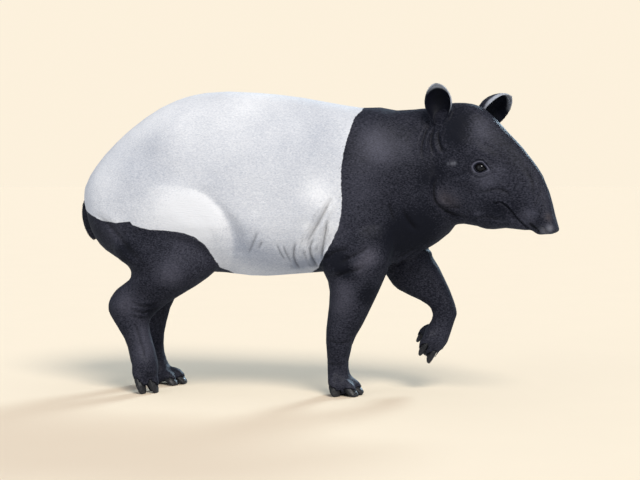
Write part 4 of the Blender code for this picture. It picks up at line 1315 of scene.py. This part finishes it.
@dataclass
class Coat:
    """The tufts of short hair over the whole hide."""

    hide: Hide
    sink: float = 0.0008
    thickness: float = 0.45
    patch_size: float = 0.003
    inset: float = 0.0005
    nose: tuple[float, float, float] = (0.880, 0.0, 0.640)
    combed: np.ndarray | None = None
    unwrap: tuple[BVHTree, np.ndarray, np.ndarray] | None = None

    def build(self) -> list[bpy.types.Object]:
        """Plant every stretch of the coat.

        Returns:
            The coat's pieces.
        """
        self.combed = self.comb()
        self.unwrap = self.read_unwrap()
        return [self.plant(patch) for patch in COAT]

    def comb(self) -> np.ndarray:
        """The way the hair lies at each vertex of the hide, along its surface."""
        skin, shares = self.hide.skin, self.hide.regions
        places = skin.places
        ahead = np.array(NECK.ahead())
        nose = np.array(NECK.place(Vector(self.nose)))
        from_nose = unit(places - nose)
        ways = np.zeros_like(places)
        side = np.sign(NECK.straighten(places)[:, 1:2])
        fixed = {
            Region.TRUNK: (-1.0, 0.0, -0.35), Region.NECK: (-1.0, 0.05, -0.30),
            Region.TAIL: (0.05, 0.0, -1.0), Region.UPPER_LEG: (-0.35, 0.0, -1.0),
            Region.LOWER_LEG: (-0.10, 0.0, -1.0),
        }
        for region, way in fixed.items():
            ways += shares[:, [region.value]] * unit(np.array([way]))
        ways += shares[:, [Region.HEAD.value]] * unit(from_nose - 0.4 * ahead)
        ears = shares[:, [Region.EAR.value]]
        ways += ears * np.where(side < 0, EARS[0].to_tip(), EARS[1].to_tip())
        ways -= skin.normals * (ways * skin.normals).sum(1, keepdims=True)
        for _ in range(6):
            ways = 0.4 * unit(ways) + 0.6 * skin.mean_of_neighbours(ways)
            ways -= skin.normals * (ways * skin.normals).sum(1, keepdims=True)
        return unit(ways)

    def read_unwrap(self) -> tuple[BVHTree, np.ndarray, np.ndarray]:
        """A search tree of the unwrapped copy, with its corners' places and map."""
        bm = bmesh.new()
        bm.from_mesh(self.hide.proxy)
        bmesh.ops.triangulate(bm, faces=bm.faces)
        layer = bm.loops.layers.uv.active
        corners = np.array([[loop.vert.co for loop in face.loops] for face in bm.faces])
        maps = np.array([[loop[layer].uv for loop in face.loops] for face in bm.faces])
        tree = BVHTree.FromBMesh(bm)
        bm.free()
        return tree, corners, maps

    def map_places(self, roots: np.ndarray) -> np.ndarray:
        """Where roots lie on the unwrap.

        Args:
            roots: places on the hide.

        Returns:
            A row of u and v for each.
        """
        tree, corners, maps = self.unwrap
        faces = np.array([tree.find_nearest(root)[2] for root in roots])
        a, b, c = (corners[faces, k] for k in range(3))
        across, along, away = b - a, c - a, roots - a
        d00, d01, d11 = (across**2).sum(1), (across * along).sum(1), (along**2).sum(1)
        d20, d21 = (away * across).sum(1), (away * along).sum(1)
        scale = np.maximum(d00 * d11 - d01**2, 1e-18)
        v = np.clip((d11 * d20 - d01 * d21) / scale, 0, 1)
        w = np.clip((d00 * d21 - d01 * d20) / scale, 0, 1)
        u = np.clip(1 - v - w, 0, 1)
        total = (u + v + w)[:, None]
        corner_maps = maps[faces]
        return (corner_maps * np.stack([u, v, w], 1)[:, :, None]).sum(1) / total

    @staticmethod
    def template() -> tuple[np.ndarray, np.ndarray]:
        """One tuft along +X, a thin three-sided spike: its corners and its triangles."""
        bm = bmesh.new()
        bmesh.ops.create_cone(bm, segments=3, radius1=0.5, radius2=0.0, depth=1.0, cap_ends=True)
        bmesh.ops.remove_doubles(bm, verts=bm.verts, dist=1e-6)
        bmesh.ops.triangulate(bm, faces=bm.faces)
        turn = Matrix.Rotation(math.radians(90), 3, "Y")
        bmesh.ops.rotate(bm, verts=bm.verts, cent=(0, 0, 0), matrix=turn)
        bmesh.ops.translate(bm, verts=bm.verts, vec=(0.5, 0, 0))
        bmesh.ops.recalc_face_normals(bm, faces=bm.faces)
        bm.verts.ensure_lookup_table()
        bm.verts.index_update()
        corners = np.array([v.co for v in bm.verts])
        faces = np.array([[v.index for v in f.verts] for f in bm.faces])
        bm.free()
        return corners, faces

    def scatter(self, patch: CoatPatch, rng: np.random.Generator) -> tuple[np.ndarray, np.ndarray]:
        """Pick the faces and the shares of their corners where tufts grow.

        Args:
            patch: the stretch of coat.
            rng: the seeded source of chance.

        Returns:
            The corner vertices of each tuft's face, and the shares of those corners.
        """
        mesh = self.hide.obj.data
        triangles = np.empty(len(mesh.polygons) * 3, np.int32)
        mesh.loops.foreach_get("vertex_index", triangles)
        triangles = triangles.reshape(-1, 3)
        places = self.hide.skin.places[triangles]
        areas = np.linalg.norm(np.cross(places[:, 1] - places[:, 0], places[:, 2] - places[:, 0]), axis=1) / 2
        share = sum(self.hide.regions[:, region.value] for region in patch.regions)
        if patch.only:
            share = share * self.hide.marks[patch.only]
        share = share * (1 - self.hide.marks["bare"])
        amount = areas * share[triangles].mean(1)
        count = int(amount.sum() / patch.spacing**2)
        picked = rng.choice(len(areas), size=count, p=amount / amount.sum())
        first, second = rng.random(count), rng.random(count)
        over = first + second > 1
        first[over], second[over] = 1 - first[over], 1 - second[over]
        return triangles[picked], np.stack([1 - first - second, first, second], 1)

    def plant(self, patch: CoatPatch) -> bpy.types.Object:
        """Make one stretch of the coat as a joined mesh.

        Args:
            patch: the stretch of coat.

        Returns:
            Its piece, riding on the body.
        """
        rng = np.random.default_rng(patch.seed)
        corners, shares = self.scatter(patch, rng)
        count = len(corners)

        def at(values: np.ndarray) -> np.ndarray:
            picked = values[corners]
            return (picked * (shares if values.ndim == 1 else shares[:, :, None])).sum(1)

        roots, normals = at(self.hide.skin.places), unit(at(self.hide.skin.normals))
        lie = unit(at(self.combed))
        marks = {name: at(values) for name, values in self.hide.marks.items()}
        stray = rng.normal(0, 0.16, count)[:, None]
        aside = unit(np.cross(normals, lie))
        lie = unit(lie + aside * stray)
        lift = np.radians(patch.lift * rng.uniform(0.5, 1.6, count) * (1 - 0.8 * marks["by_fold"]))[:, None]
        way = lie * np.cos(lift) + normals * np.sin(lift)
        aside = unit(np.cross(normals, way))
        above = np.cross(way, aside)
        length = patch.length * rng.uniform(0.7, 1.25, count) * (1 - 0.65 * marks["by_fold"])
        width = patch.width * rng.uniform(0.75, 1.25, count)

        spike, faces = self.template()
        along = spike[None, :, 0] * length[:, None]
        across = spike[None, :, 1] * width[:, None]
        over = spike[None, :, 2] * width[:, None] * self.thickness
        droop = -patch.bend * spike[None, :, 0] ** 2 * length[:, None]
        places = roots[:, None] - normals[:, None] * self.sink
        places = places + way[:, None] * along[..., None] + aside[:, None] * across[..., None]
        places = places + above[:, None] * (over + droop)[..., None]
        low, high = np.array(CAD_BOX)
        places = np.clip(places, low + self.inset, high - self.inset)

        per_tuft = len(spike)
        triangles = (faces[None] + per_tuft * np.arange(count)[:, None, None]).reshape(-1, 3)
        mesh = self.join(patch.name, places.reshape(-1, 3), triangles)
        # The tufts carry the hide's marks, with its painted light and painted shade.
        for name in ("pale", "tone", "warm", "rim", "fold"):
            set_attribute(mesh, name, np.repeat(marks[name], per_tuft))
        set_attribute(mesh, "tip", np.tile(spike[:, 0], count))
        set_attribute(mesh, "own", np.repeat(rng.random(count), per_tuft))
        self.lay_map(mesh, roots, spike, triangles, per_tuft)
        towards = unit(0.85 * normals + 0.15 * above)
        mesh.normals_split_custom_set_from_vertices(np.repeat(towards, per_tuft, axis=0).tolist())
        obj = link(bpy.data.objects.new(patch.name, mesh))
        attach(obj, BODY)
        log.info("%s: %d tufts, %d triangles", patch.name, count, len(triangles))
        return obj

    @staticmethod
    def join(name: str, places: np.ndarray, triangles: np.ndarray) -> bpy.types.Mesh:
        """One smooth mesh of all the tufts of a stretch.

        Args:
            name: what the mesh is called.
            places: the tufts' corners, one tuft after another.
            triangles: rows of three corners.

        Returns:
            The mesh.
        """
        mesh = bpy.data.meshes.new(name)
        mesh.vertices.add(len(places))
        mesh.vertices.foreach_set("co", places.astype(np.float32).ravel())
        mesh.loops.add(len(triangles) * 3)
        mesh.loops.foreach_set("vertex_index", triangles.astype(np.int32).ravel())
        mesh.polygons.add(len(triangles))
        mesh.polygons.foreach_set("loop_start", np.arange(0, len(triangles) * 3, 3, dtype=np.int32))
        mesh.polygons.foreach_set("use_smooth", np.ones(len(triangles), bool))
        mesh.update(calc_edges=True)
        return mesh

    def lay_map(
        self, mesh: bpy.types.Mesh, roots: np.ndarray, spike: np.ndarray, triangles: np.ndarray, per_tuft: int
    ) -> None:
        """Give each tuft its small patch of the map, at its root's place on the unwrap.

        Args:
            mesh: the coat's mesh.
            roots: where the tufts grow.
            spike: the corners of the tuft that is repeated.
            triangles: the mesh's triangles.
            per_tuft: how many corners each tuft has; not used.
        """
        middle = self.map_places(roots)
        shape = np.stack([spike[:, 0] - 0.5, spike[:, 1]], 1) * self.patch_size
        maps = np.clip(middle[:, None] + shape[None], 0.0, 1.0).reshape(-1, 2)
        layer = mesh.uv_layers.new(name="OFBake")
        layer.uv.foreach_set("vector", maps[triangles.ravel()].astype(np.float32).ravel())


@dataclass
class Eyeball:
    """A moist dark eye: its ball with the iris and a cornea that stands out a little."""

    setting: EyeSetting
    cornea: float = 0.0012
    iris: float = math.radians(38)
    pupil_length: float = 0.0066
    pupil_height: float = 0.0048
    segments: int = 64
    rings: int = 48

    def build(self) -> bpy.types.Object:
        """Make the eye.

        Returns:
            Its piece, in the place of the solid it stands for.
        """
        setting = self.setting
        bm = bmesh.new()
        bmesh.ops.create_uvsphere(bm, u_segments=self.segments, v_segments=self.rings, radius=setting.radius)
        for vertex in bm.verts:
            angle = math.acos(max(-1.0, min(1.0, vertex.co.normalized().z)))
            swell = self.cornea * math.exp(-((angle / (self.iris * 0.85)) ** 4))
            vertex.co *= 1 + swell / setting.radius
        axes = Matrix((setting.ahead, setting.upward, setting.outward)).transposed().to_4x4()
        bmesh.ops.transform(bm, matrix=Matrix.Translation(setting.centre) @ axes, verts=bm.verts)
        if axes.determinant() < 0:
            bmesh.ops.reverse_faces(bm, faces=bm.faces)
        for face in bm.faces:
            face.smooth = True
        mesh = bpy.data.meshes.new(setting.name + "_ball")
        bm.to_mesh(mesh)
        bm.free()
        places = np.array([v.co for v in mesh.vertices])
        along, up, out = setting.local(places)
        reach = np.hypot(along, up)
        set_attribute(mesh, "ring", np.arctan2(reach, out) / self.iris)
        set_attribute(mesh, "pupil", np.hypot(along / self.pupil_length, up / self.pupil_height))
        obj = link(bpy.data.objects.new(setting.name + "_ball", mesh))
        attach(obj, BODY)
        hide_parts(setting.name)
        log.info("%s: %d faces", obj.name, len(mesh.polygons))
        return obj


@dataclass
class Hoof:
    """A hoof of one toe, rounded from its solid, with growth rings across its wall."""

    node: str
    heading: float
    pitch: float
    rings: float = 0.0040
    ring_rise: float = 0.00022
    inset: float = 0.0002
    rounding: float = 0.0022
    grain: float = 0.0011

    def build(self) -> bpy.types.Object:
        """Make the hoof.

        Returns:
            Its piece, in the place of the solid.
        """
        bm = bmesh.new()
        bm.from_mesh(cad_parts[self.node].data)
        bmesh.ops.remove_doubles(bm, verts=bm.verts, dist=1e-5)
        bmesh.ops.dissolve_limit(bm, angle_limit=math.radians(1), verts=bm.verts, edges=bm.edges)
        sharp = [e for e in bm.edges if e.calc_face_angle(0) > math.radians(32)]
        bmesh.ops.bevel(
            bm, geom=sharp, offset=self.rounding, offset_type="OFFSET", segments=2, profile=0.5,
            affect="EDGES", material=-1, clamp_overlap=True,
        )
        bmesh.ops.triangulate(bm, faces=bm.faces)
        mesh = bpy.data.meshes.new(self.node + "_horn")
        bm.to_mesh(mesh)
        bm.free()
        obj = link(bpy.data.objects.new(self.node + "_horn", mesh))
        even = obj.modifiers.new("even", "REMESH")
        even.mode = "VOXEL"
        even.voxel_size = self.grain
        soften = obj.modifiers.new("soften", "SMOOTH")
        soften.factor = 0.5
        soften.iterations = 6
        apply_modifiers(obj)
        skin = Skin(obj.data)
        heading, pitch = math.radians(self.heading), math.radians(self.pitch)
        flat = np.array((math.cos(heading), math.sin(heading), 0.0))
        toe = flat * math.cos(pitch) - np.array((0, 0, math.sin(pitch)))
        along = skin.places @ toe
        along -= along.min()
        wave = np.sin(along / self.rings * 2 * math.pi + 3 * np.sin(along / 0.013))
        sides = smooth_share(1 - np.abs(skin.normals @ toe), 0.3, 0.8)
        sole = smooth_share(skin.places[:, 2], 0.001, 0.004)
        skin.places += skin.normals * (self.ring_rise * wave * sides * sole - self.inset)[:, None]
        skin.places[:, 2] = np.maximum(skin.places[:, 2], 0.0)
        skin.write()
        set_attribute(obj.data, "along", along / max(along.max(), 1e-6))
        for polygon in obj.data.polygons:
            polygon.use_smooth = True
        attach(obj, BODY)
        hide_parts(self.node)
        return obj


TOES = {
    "foreleg_right_hoof_outer": (-40, 62), "foreleg_right_hoof_second": (-20, 34),
    "foreleg_right_hoof_middle": (2, 32), "foreleg_right_hoof_inner": (24, 34),
    "foreleg_left_hoof_outer": (172, 48), "foreleg_left_hoof_second": (184, 62),
    "foreleg_left_hoof_middle": (180, 66), "foreleg_left_hoof_inner": (176, 60),
    "hindleg_right_hoof_outer": (-14, 68), "hindleg_right_hoof_middle": (0, 64),
    "hindleg_right_hoof_inner": (14, 68), "hindleg_left_hoof_outer": (24, 32),
    "hindleg_left_hoof_middle": (0, 32), "hindleg_left_hoof_inner": (-24, 32),
}


class Graph:
    """A short way to wire a material's nodes."""

    def __init__(self, name: str) -> None:
        """Start a material.

        Args:
            name: what the material is called.
        """
        self.material = bpy.data.materials.new(name)
        self.material.use_nodes = True
        self.nodes = self.material.node_tree.nodes
        self.shader = self.nodes["Principled BSDF"]

    def add(self, kind: str, **inputs: object) -> bpy.types.Node:
        """Add a node and set or wire its inputs.

        Args:
            kind: the node's type.
            inputs: values or sockets by input name, with _ for a space, or settings of the node.

        Returns:
            The node.
        """
        node = self.nodes.new(kind)
        for name, value in inputs.items():
            if hasattr(node, name) and not isinstance(value, bpy.types.NodeSocket):
                setattr(node, name, value)
                continue
            socket = node.inputs[int(name[1:])] if name[1:].isdigit() else node.inputs[name.replace("_", " ")]
            self.set(socket, value)
        return node

    def set(self, socket: bpy.types.NodeSocket, value: object) -> None:
        """Wire a socket to another, or give it a value."""
        if isinstance(value, bpy.types.NodeSocket):
            self.material.node_tree.links.new(value, socket)
        else:
            socket.default_value = value

    def read(self, name: str) -> bpy.types.NodeSocket:
        """A number that the mesh carries."""
        return self.add("ShaderNodeAttribute", attribute_name=name).outputs["Fac"]

    def math(
        self, operation: str, first: object, second: object, clamp: bool = False
    ) -> bpy.types.NodeSocket:
        """The result of a sum on two numbers."""
        node = self.add("ShaderNodeMath", operation=operation, use_clamp=clamp, _0=first, _1=second)
        return node.outputs[0]

    def line(self, value: object, slope: float, start: float, clamp: bool = False) -> bpy.types.NodeSocket:
        """A number times a slope, from a start."""
        node = self.math("MULTIPLY_ADD", value, slope, clamp).node
        node.inputs[2].default_value = start
        return node.outputs[0]

    def swing(self, noise: object, reach: float) -> bpy.types.NodeSocket:
        """Noise that swings about nothing, by half the reach each way."""
        return self.line(noise, reach, -0.5 * reach)

    def step(self, value: object, low: float, high: float) -> bpy.types.NodeSocket:
        """A soft step from 0 at low to 1 at high.

        Args:
            value: the number to step.
            low: where the step starts.
            high: where it ends.

        Returns:
            The step's socket.
        """
        node = self.add("ShaderNodeMapRange", Value=value, interpolation_type="SMOOTHSTEP")
        node.inputs["From Min"].default_value = low
        node.inputs["From Max"].default_value = high
        return node.outputs[0]

    def mix(self, share: object, first: object, second: object) -> bpy.types.NodeSocket:
        """A colour between two colours.

        Args:
            share: how much of the second there is.
            first: the colour at 0.
            second: the colour at 1.

        Returns:
            The mixed colour's socket.
        """
        node = self.add("ShaderNodeMix", data_type="RGBA")
        self.set(node.inputs[0], share)
        self.set(node.inputs[6], first)
        self.set(node.inputs[7], second)
        return node.outputs[2]

    def noise(self, scale: float, stretch: tuple[float, float, float], turn: float = 0.0,
              detail: float = 2.0) -> bpy.types.NodeSocket:
        """Noise in the piece's own space, drawn out along an axis.

        Args:
            scale: how many cells a metre holds.
            stretch: what each axis is multiplied by.
            turn: a turn of the pattern about the upright, in radians.
            detail: how many finer layers there are.

        Returns:
            The noise's value socket.
        """
        where = self.add("ShaderNodeTexCoord").outputs["Object"]
        turned = self.add("ShaderNodeMapping", Vector=where)
        turned.inputs["Rotation"].default_value = (0, 0, turn)
        stretched = self.add("ShaderNodeMapping", Vector=turned.outputs[0])
        stretched.inputs["Scale"].default_value = stretch
        noise = self.add("ShaderNodeTexNoise", Vector=stretched.outputs[0], Scale=scale, Detail=detail)
        return noise.outputs["Fac"]


def tint(colour: Colour) -> tuple[float, float, float, float]:
    """A colour with full cover."""
    return (*colour, 1.0)


@dataclass(frozen=True)
class HairFinish:
    """Short, dense hair: black-blue with greyer patches, and the pale saddle.

    The shares say how grey the dark hair is, and how far the pale hair goes towards its grey shade colour, by
    themselves and by the hide's tone, the broad swing from place to place and the fine grain. The tone
    carries painted light and painted shade as well as the hide's own marks, and the swing and the grain are
    dirt-grey mottle. fold_shade is how dark the painted shade in folds and nostrils is, and the rims' white
    also paints a highlight on the nose pad.
    """

    name: str
    tufts: bool
    grey_share: float = 0.17
    grey_by_tone: float = 0.55
    grey_by_place: float = 0.50
    grey_by_grain: float = 0.62
    dirt_and_shade_share: float = 0.36
    dirt_and_shade_by_tone: float = 0.60
    dirt_by_place: float = 0.70
    dirt_by_grain: float = 0.55
    fringe: float = 0.45
    fold_shade: float = 0.75
    black: Colour = (0.0058, 0.0063, 0.0120)
    grey: Colour = (0.106, 0.102, 0.130)
    brown: Colour = (0.105, 0.080, 0.072)
    white: Colour = (0.905, 0.880, 0.855)
    shade: Colour = (0.400, 0.415, 0.460)
    rim_white_and_highlight: Colour = (0.56, 0.57, 0.61)

    def build(self) -> bpy.types.Material:
        """Make the material.

        Returns:
            The material, for the hide or for the coat's tufts.
        """
        g = Graph(self.name)
        pale, tone = g.read("pale"), g.read("tone")
        broad = g.noise(5.0, (1, 1, 1), detail=3.0)
        speckle = g.noise(220.0, (0.6, 1, 1), detail=2.0)
        fringe = g.noise(90.0, (0.35, 1, 1), detail=2.0)
        loose = g.read("own") if self.tufts else g.noise(420.0, (0.4, 1, 1), detail=1.0)
        grain = g.math("ADD", g.line(speckle, 1.4, -1.2), loose)

        # The tone brings painted light on the lit planes and painted shade in the hollows, with the hide's
        # own greyer marks.
        mottle = g.math("ADD", g.swing(broad, self.grey_by_place), g.line(grain, self.grey_by_grain, 0.0))
        greyness = g.math("ADD", g.line(tone, self.grey_by_tone, self.grey_share), mottle, clamp=True)
        browned = g.mix(g.line(g.read("warm"), 0.8, 0.0, clamp=True), tint(self.grey), tint(self.brown))
        dark = g.mix(greyness, tint(self.black), browned)

        # Painted light and shade on the saddle by the hide's tone, with dirt-grey mottle by the swing and the
        # grain.
        dirt_and_shade = g.line(tone, -self.dirt_and_shade_by_tone, self.dirt_and_shade_share)
        dirt_and_shade = g.math("ADD", dirt_and_shade, g.swing(broad, self.dirt_by_place))
        dirt_and_shade = g.math("SUBTRACT", dirt_and_shade, g.line(grain, self.dirt_by_grain, 0.0), clamp=True)
        light = g.mix(dirt_and_shade, tint(self.white), tint(self.shade))

        edge = g.step(g.math("ADD", pale, g.swing(fringe, self.fringe)), 0.42, 0.58)
        colour = g.mix(edge, dark, light)
        # The ears' pale rims and the pale spots behind the eyes, and a painted highlight on the nose pad.
        colour = g.mix(g.line(g.read("rim"), 0.9, 0.0, clamp=True), colour, tint(self.rim_white_and_highlight))
        # Painted shade in the folds and the nostrils darkens the colour.
        bright = g.line(g.read("fold"), -self.fold_shade, 1.0, clamp=True)
        if self.tufts:
            bright = g.math("MULTIPLY", bright, g.line(g.read("tip"), 0.40, 0.78))
            bright = g.math("MULTIPLY", bright, g.line(loose, 0.36, 0.82))
        shaded = g.add("ShaderNodeVectorMath", operation="SCALE", _0=colour, _3=bright)
        g.set(g.shader.inputs["Base Color"], shaded.outputs[0])
        rough = g.math("ADD", g.line(pale, 0.20, 0.56), g.swing(speckle, 0.2))
        if not self.tufts:
            rough = g.math("MULTIPLY", rough, g.line(g.read("bare"), -0.45, 1.0))
            self.add_relief(g)
        g.set(g.shader.inputs["Roughness"], rough)
        g.shader.inputs["Specular IOR Level"].default_value = 0.18
        g.shader.inputs["Sheen Weight"].default_value = 0.02
        g.shader.inputs["Sheen Roughness"].default_value = 0.40
        g.shader.inputs["Sheen Tint"].default_value = (0.60, 0.78, 1.0, 1.0)
        return g.material

    def add_relief(self, g: Graph) -> None:
        """Give the hide the grain of its hair and its finest wrinkles.

        Args:
            g: the material's graph.
        """
        along_body = g.noise(260.0, (0.16, 1, 1), detail=3.0)
        down_leg = g.noise(260.0, (1, 1, 0.16), detail=3.0)
        on_head = g.noise(330.0, (0.22, 1, 1), turn=NECK.turn, detail=3.0)
        leg, head = g.read("leg"), g.read("head")
        body = g.math("SUBTRACT", g.math("SUBTRACT", 1.0, leg), head, clamp=True)
        hair = g.math("MULTIPLY", along_body, body)
        hair = g.math("ADD", hair, g.math("MULTIPLY", down_leg, leg))
        hair = g.math("ADD", hair, g.math("MULTIPLY", on_head, head))
        wrinkles = g.noise(55.0, (1, 1, 1), detail=4.0)
        height = g.math("ADD", hair, g.math("MULTIPLY", wrinkles, 0.8))
        relief = g.add("ShaderNodeBump", Strength=0.5, Distance=0.0022, Height=height)
        g.set(g.shader.inputs["Normal"], relief.outputs[0])


@dataclass(frozen=True)
class HornFinish:
    """Dark satin horn, paler and scuffed towards its worn edge."""

    name: str = "hoof_horn_finish"
    dark: Colour = (0.0090, 0.0085, 0.0095)
    worn: Colour = (0.066, 0.060, 0.058)

    def build(self) -> bpy.types.Material:
        """Make the material."""
        g = Graph(self.name)
        streaks = g.noise(160.0, (1, 1, 0.25), detail=3.0)
        wear = g.math("ADD", g.line(g.read("along"), 0.55, -0.42), g.line(streaks, 0.7, 0.0), clamp=True)
        g.set(g.shader.inputs["Base Color"], g.mix(wear, tint(self.dark), tint(self.worn)))
        g.set(g.shader.inputs["Roughness"], g.line(streaks, 0.35, 0.24))
        relief = g.add("ShaderNodeBump", Strength=0.35, Distance=0.0008, Height=streaks)
        g.set(g.shader.inputs["Normal"], relief.outputs[0])
        return g.material


@dataclass(frozen=True)
class EyeFinish:
    """A near-black brown iris round a black pupil, with a dark white, under a wet surface."""

    name: str = "eye_finish"
    pupil: Colour = (0.002, 0.002, 0.002)
    iris: Colour = (0.0030, 0.0022, 0.0020)
    iris_light: Colour = (0.0070, 0.0040, 0.0028)
    white: Colour = (0.0080, 0.0065, 0.0060)

    def build(self) -> bpy.types.Material:
        """Make the material."""
        g = Graph(self.name)
        ring = g.read("ring")
        fibres = g.noise(900.0, (1, 1, 1), detail=3.0)
        iris = g.mix(g.math("MULTIPLY", fibres, g.math("SUBTRACT", 1.15, ring), clamp=True),
                     tint(self.iris), tint(self.iris_light))
        colour = g.mix(g.step(g.read("pupil"), 0.90, 1.08), tint(self.pupil), iris)
        colour = g.mix(g.step(ring, 0.86, 1.05), colour, tint(self.white))
        g.set(g.shader.inputs["Base Color"], colour)
        g.shader.inputs["Roughness"].default_value = 0.25
        g.shader.inputs["Specular IOR Level"].default_value = 0.05
        g.shader.inputs["Coat Weight"].default_value = 1.0
        g.shader.inputs["Coat Roughness"].default_value = 0.03
        return g.material


@dataclass(frozen=True)
class Lamp:
    """One broad, even lamp: its way round from the right side, its height and its softness, in degrees."""

    name: str
    azimuth: float
    elevation: float
    softness: float
    strength: float
    colour: Colour


@dataclass
class Studio:
    """The pale floor, the soft lights and the camera.

    dimming is the share of the surround's and the floor's light that is left out of reflections.
    """

    target: tuple[float, float, float] = (0.018, 0.0, 0.554)
    azimuth: float = math.radians(10)
    elevation: float = math.radians(3)
    distance: float = 5.8
    lens: float = 90.0
    surround: Colour = (0.980, 0.880, 0.720)
    sky: Colour = (0.36, 0.41, 0.50)
    bounce: Colour = (0.70, 0.66, 0.62)
    dimming: float = 0.55
    lamps: tuple[Lamp, ...] = (
        Lamp("key", 30, 46, 25, 2.05, (1.0, 0.98, 0.95)),
        Lamp("fill", -46, 16, 50, 0.36, (0.92, 0.96, 1.0)),
        Lamp("rim", 160, 27, 16, 2.00, (0.62, 0.83, 1.0)),
    )

    def back(self, azimuth: float, elevation: float) -> Vector:
        """The way from the animal to a place round it."""
        return Vector((
            math.sin(azimuth) * math.cos(elevation), -math.cos(azimuth) * math.cos(elevation),
            math.sin(elevation),
        ))

    def build(self) -> None:
        """Set up the whole studio."""
        self.lay_floor()
        self.light_world()
        for lamp in self.lamps:
            self.hang(lamp)
        bpy.context.scene.view_settings.view_transform = "Standard"
        self.place_camera()

    def lay_floor(self) -> None:
        """A wide pale floor just under the feet."""
        bm = bmesh.new()
        bmesh.ops.create_circle(bm, cap_ends=True, segments=96, radius=40.0)
        mesh = bpy.data.meshes.new("floor")
        bm.to_mesh(mesh)
        bm.free()
        floor = link(bpy.data.objects.new("floor", mesh))
        g = Graph("floor_paint")
        light = np.array(self.sky)
        for lamp in self.lamps:
            share = math.sin(math.radians(lamp.elevation)) * lamp.strength / math.pi
            light = light + share * np.array(lamp.colour)
        paint = np.clip(np.array(self.surround) / light, 0, 0.98)
        mottle = g.noise(3.0, (1, 1, 1), detail=4.0)
        paler = tuple(float(c) for c in np.clip(paint * 1.02, 0, 0.99))
        seen = g.mix(mottle, tint(tuple(map(float, paint))), tint(paler))
        camera_ray = g.add("ShaderNodeLightPath").outputs["Is Camera Ray"]
        mirrored = g.line(g.add("ShaderNodeLightPath").outputs["Is Glossy Ray"], self.dimming, 0.0)
        lit = g.mix(mirrored, tint(self.bounce), tint((0.0, 0.0, 0.0)))
        g.set(g.shader.inputs["Base Color"], g.mix(camera_ray, lit, seen))
        g.shader.inputs["Roughness"].default_value = 1.0
        g.shader.inputs["Specular IOR Level"].default_value = 0.0
        mesh.materials.append(g.material)

    def light_world(self) -> None:
        """A pale surround as the camera sees it, and a softer, cooler light from it on the animal."""
        world = bpy.data.worlds.new("surround")
        bpy.context.scene.world = world
        world.use_nodes = True
        nodes, links = world.node_tree.nodes, world.node_tree.links
        sky, seen = nodes["Background"], nodes.new("ShaderNodeBackground")
        sky.inputs["Color"].default_value = tint(self.sky)
        seen.inputs["Color"].default_value = tint(self.surround)
        mixed, path = nodes.new("ShaderNodeMixShader"), nodes.new("ShaderNodeLightPath")
        dimmed = nodes.new("ShaderNodeMath")
        dimmed.operation = "MULTIPLY_ADD"
        links.new(path.outputs["Is Glossy Ray"], dimmed.inputs[0])
        dimmed.inputs[1].default_value = -self.dimming
        dimmed.inputs[2].default_value = 1.0
        links.new(dimmed.outputs[0], sky.inputs["Strength"])
        links.new(path.outputs["Is Camera Ray"], mixed.inputs[0])
        links.new(sky.outputs[0], mixed.inputs[1])
        links.new(seen.outputs[0], mixed.inputs[2])
        links.new(mixed.outputs[0], nodes["World Output"].inputs["Surface"])

    def hang(self, lamp: Lamp) -> None:
        """Add one lamp that shines on the animal and the whole floor evenly.

        Args:
            lamp: the lamp.
        """
        light = bpy.data.lights.new(lamp.name, "SUN")
        light.energy = lamp.strength
        light.color = lamp.colour
        light.angle = math.radians(lamp.softness)
        obj = link(bpy.data.objects.new(lamp.name, light))
        way = self.back(math.radians(lamp.azimuth), math.radians(lamp.elevation))
        obj.location = way * 6.0
        obj.rotation_euler = (-way).to_track_quat("-Z", "Y").to_euler()

    def place_camera(self) -> None:
        """Look at the animal from the picture's angle."""
        camera = bpy.data.cameras.new("camera")
        camera.lens = self.lens
        camera.sensor_width = 36.0
        obj = link(bpy.data.objects.new("camera", camera))
        way = self.back(self.azimuth, self.elevation)
        obj.location = Vector(self.target) + way * self.distance
        obj.rotation_euler = (-way).to_track_quat("-Z", "Y").to_euler()
        bpy.context.scene.camera = obj


def main() -> None:
    """Build the tapir and its studio, and report each piece."""
    hide = Hide()
    skin = hide.build()
    skin.data.materials.append(HairFinish("hide_finish", tufts=False).build())
    skin.data.polygons.foreach_set("use_smooth", np.ones(len(skin.data.polygons), bool))
    tuft_finish = HairFinish("coat_finish", tufts=True).build()
    for piece in Coat(hide).build():
        piece.data.materials.append(tuft_finish)
    wet = EyeFinish().build()
    for setting in hide.eyes:
        Eyeball(setting).build().data.materials.append(wet)
    horn = HornFinish().build()
    for node, (heading, pitch) in TOES.items():
        piece = Hoof(node, heading, pitch).build()
        piece.data.materials.append(horn)
        log.info("%s: %d faces", piece.name, len(piece.data.polygons))
    Studio().build()


if __name__ == "__main__":
    main()
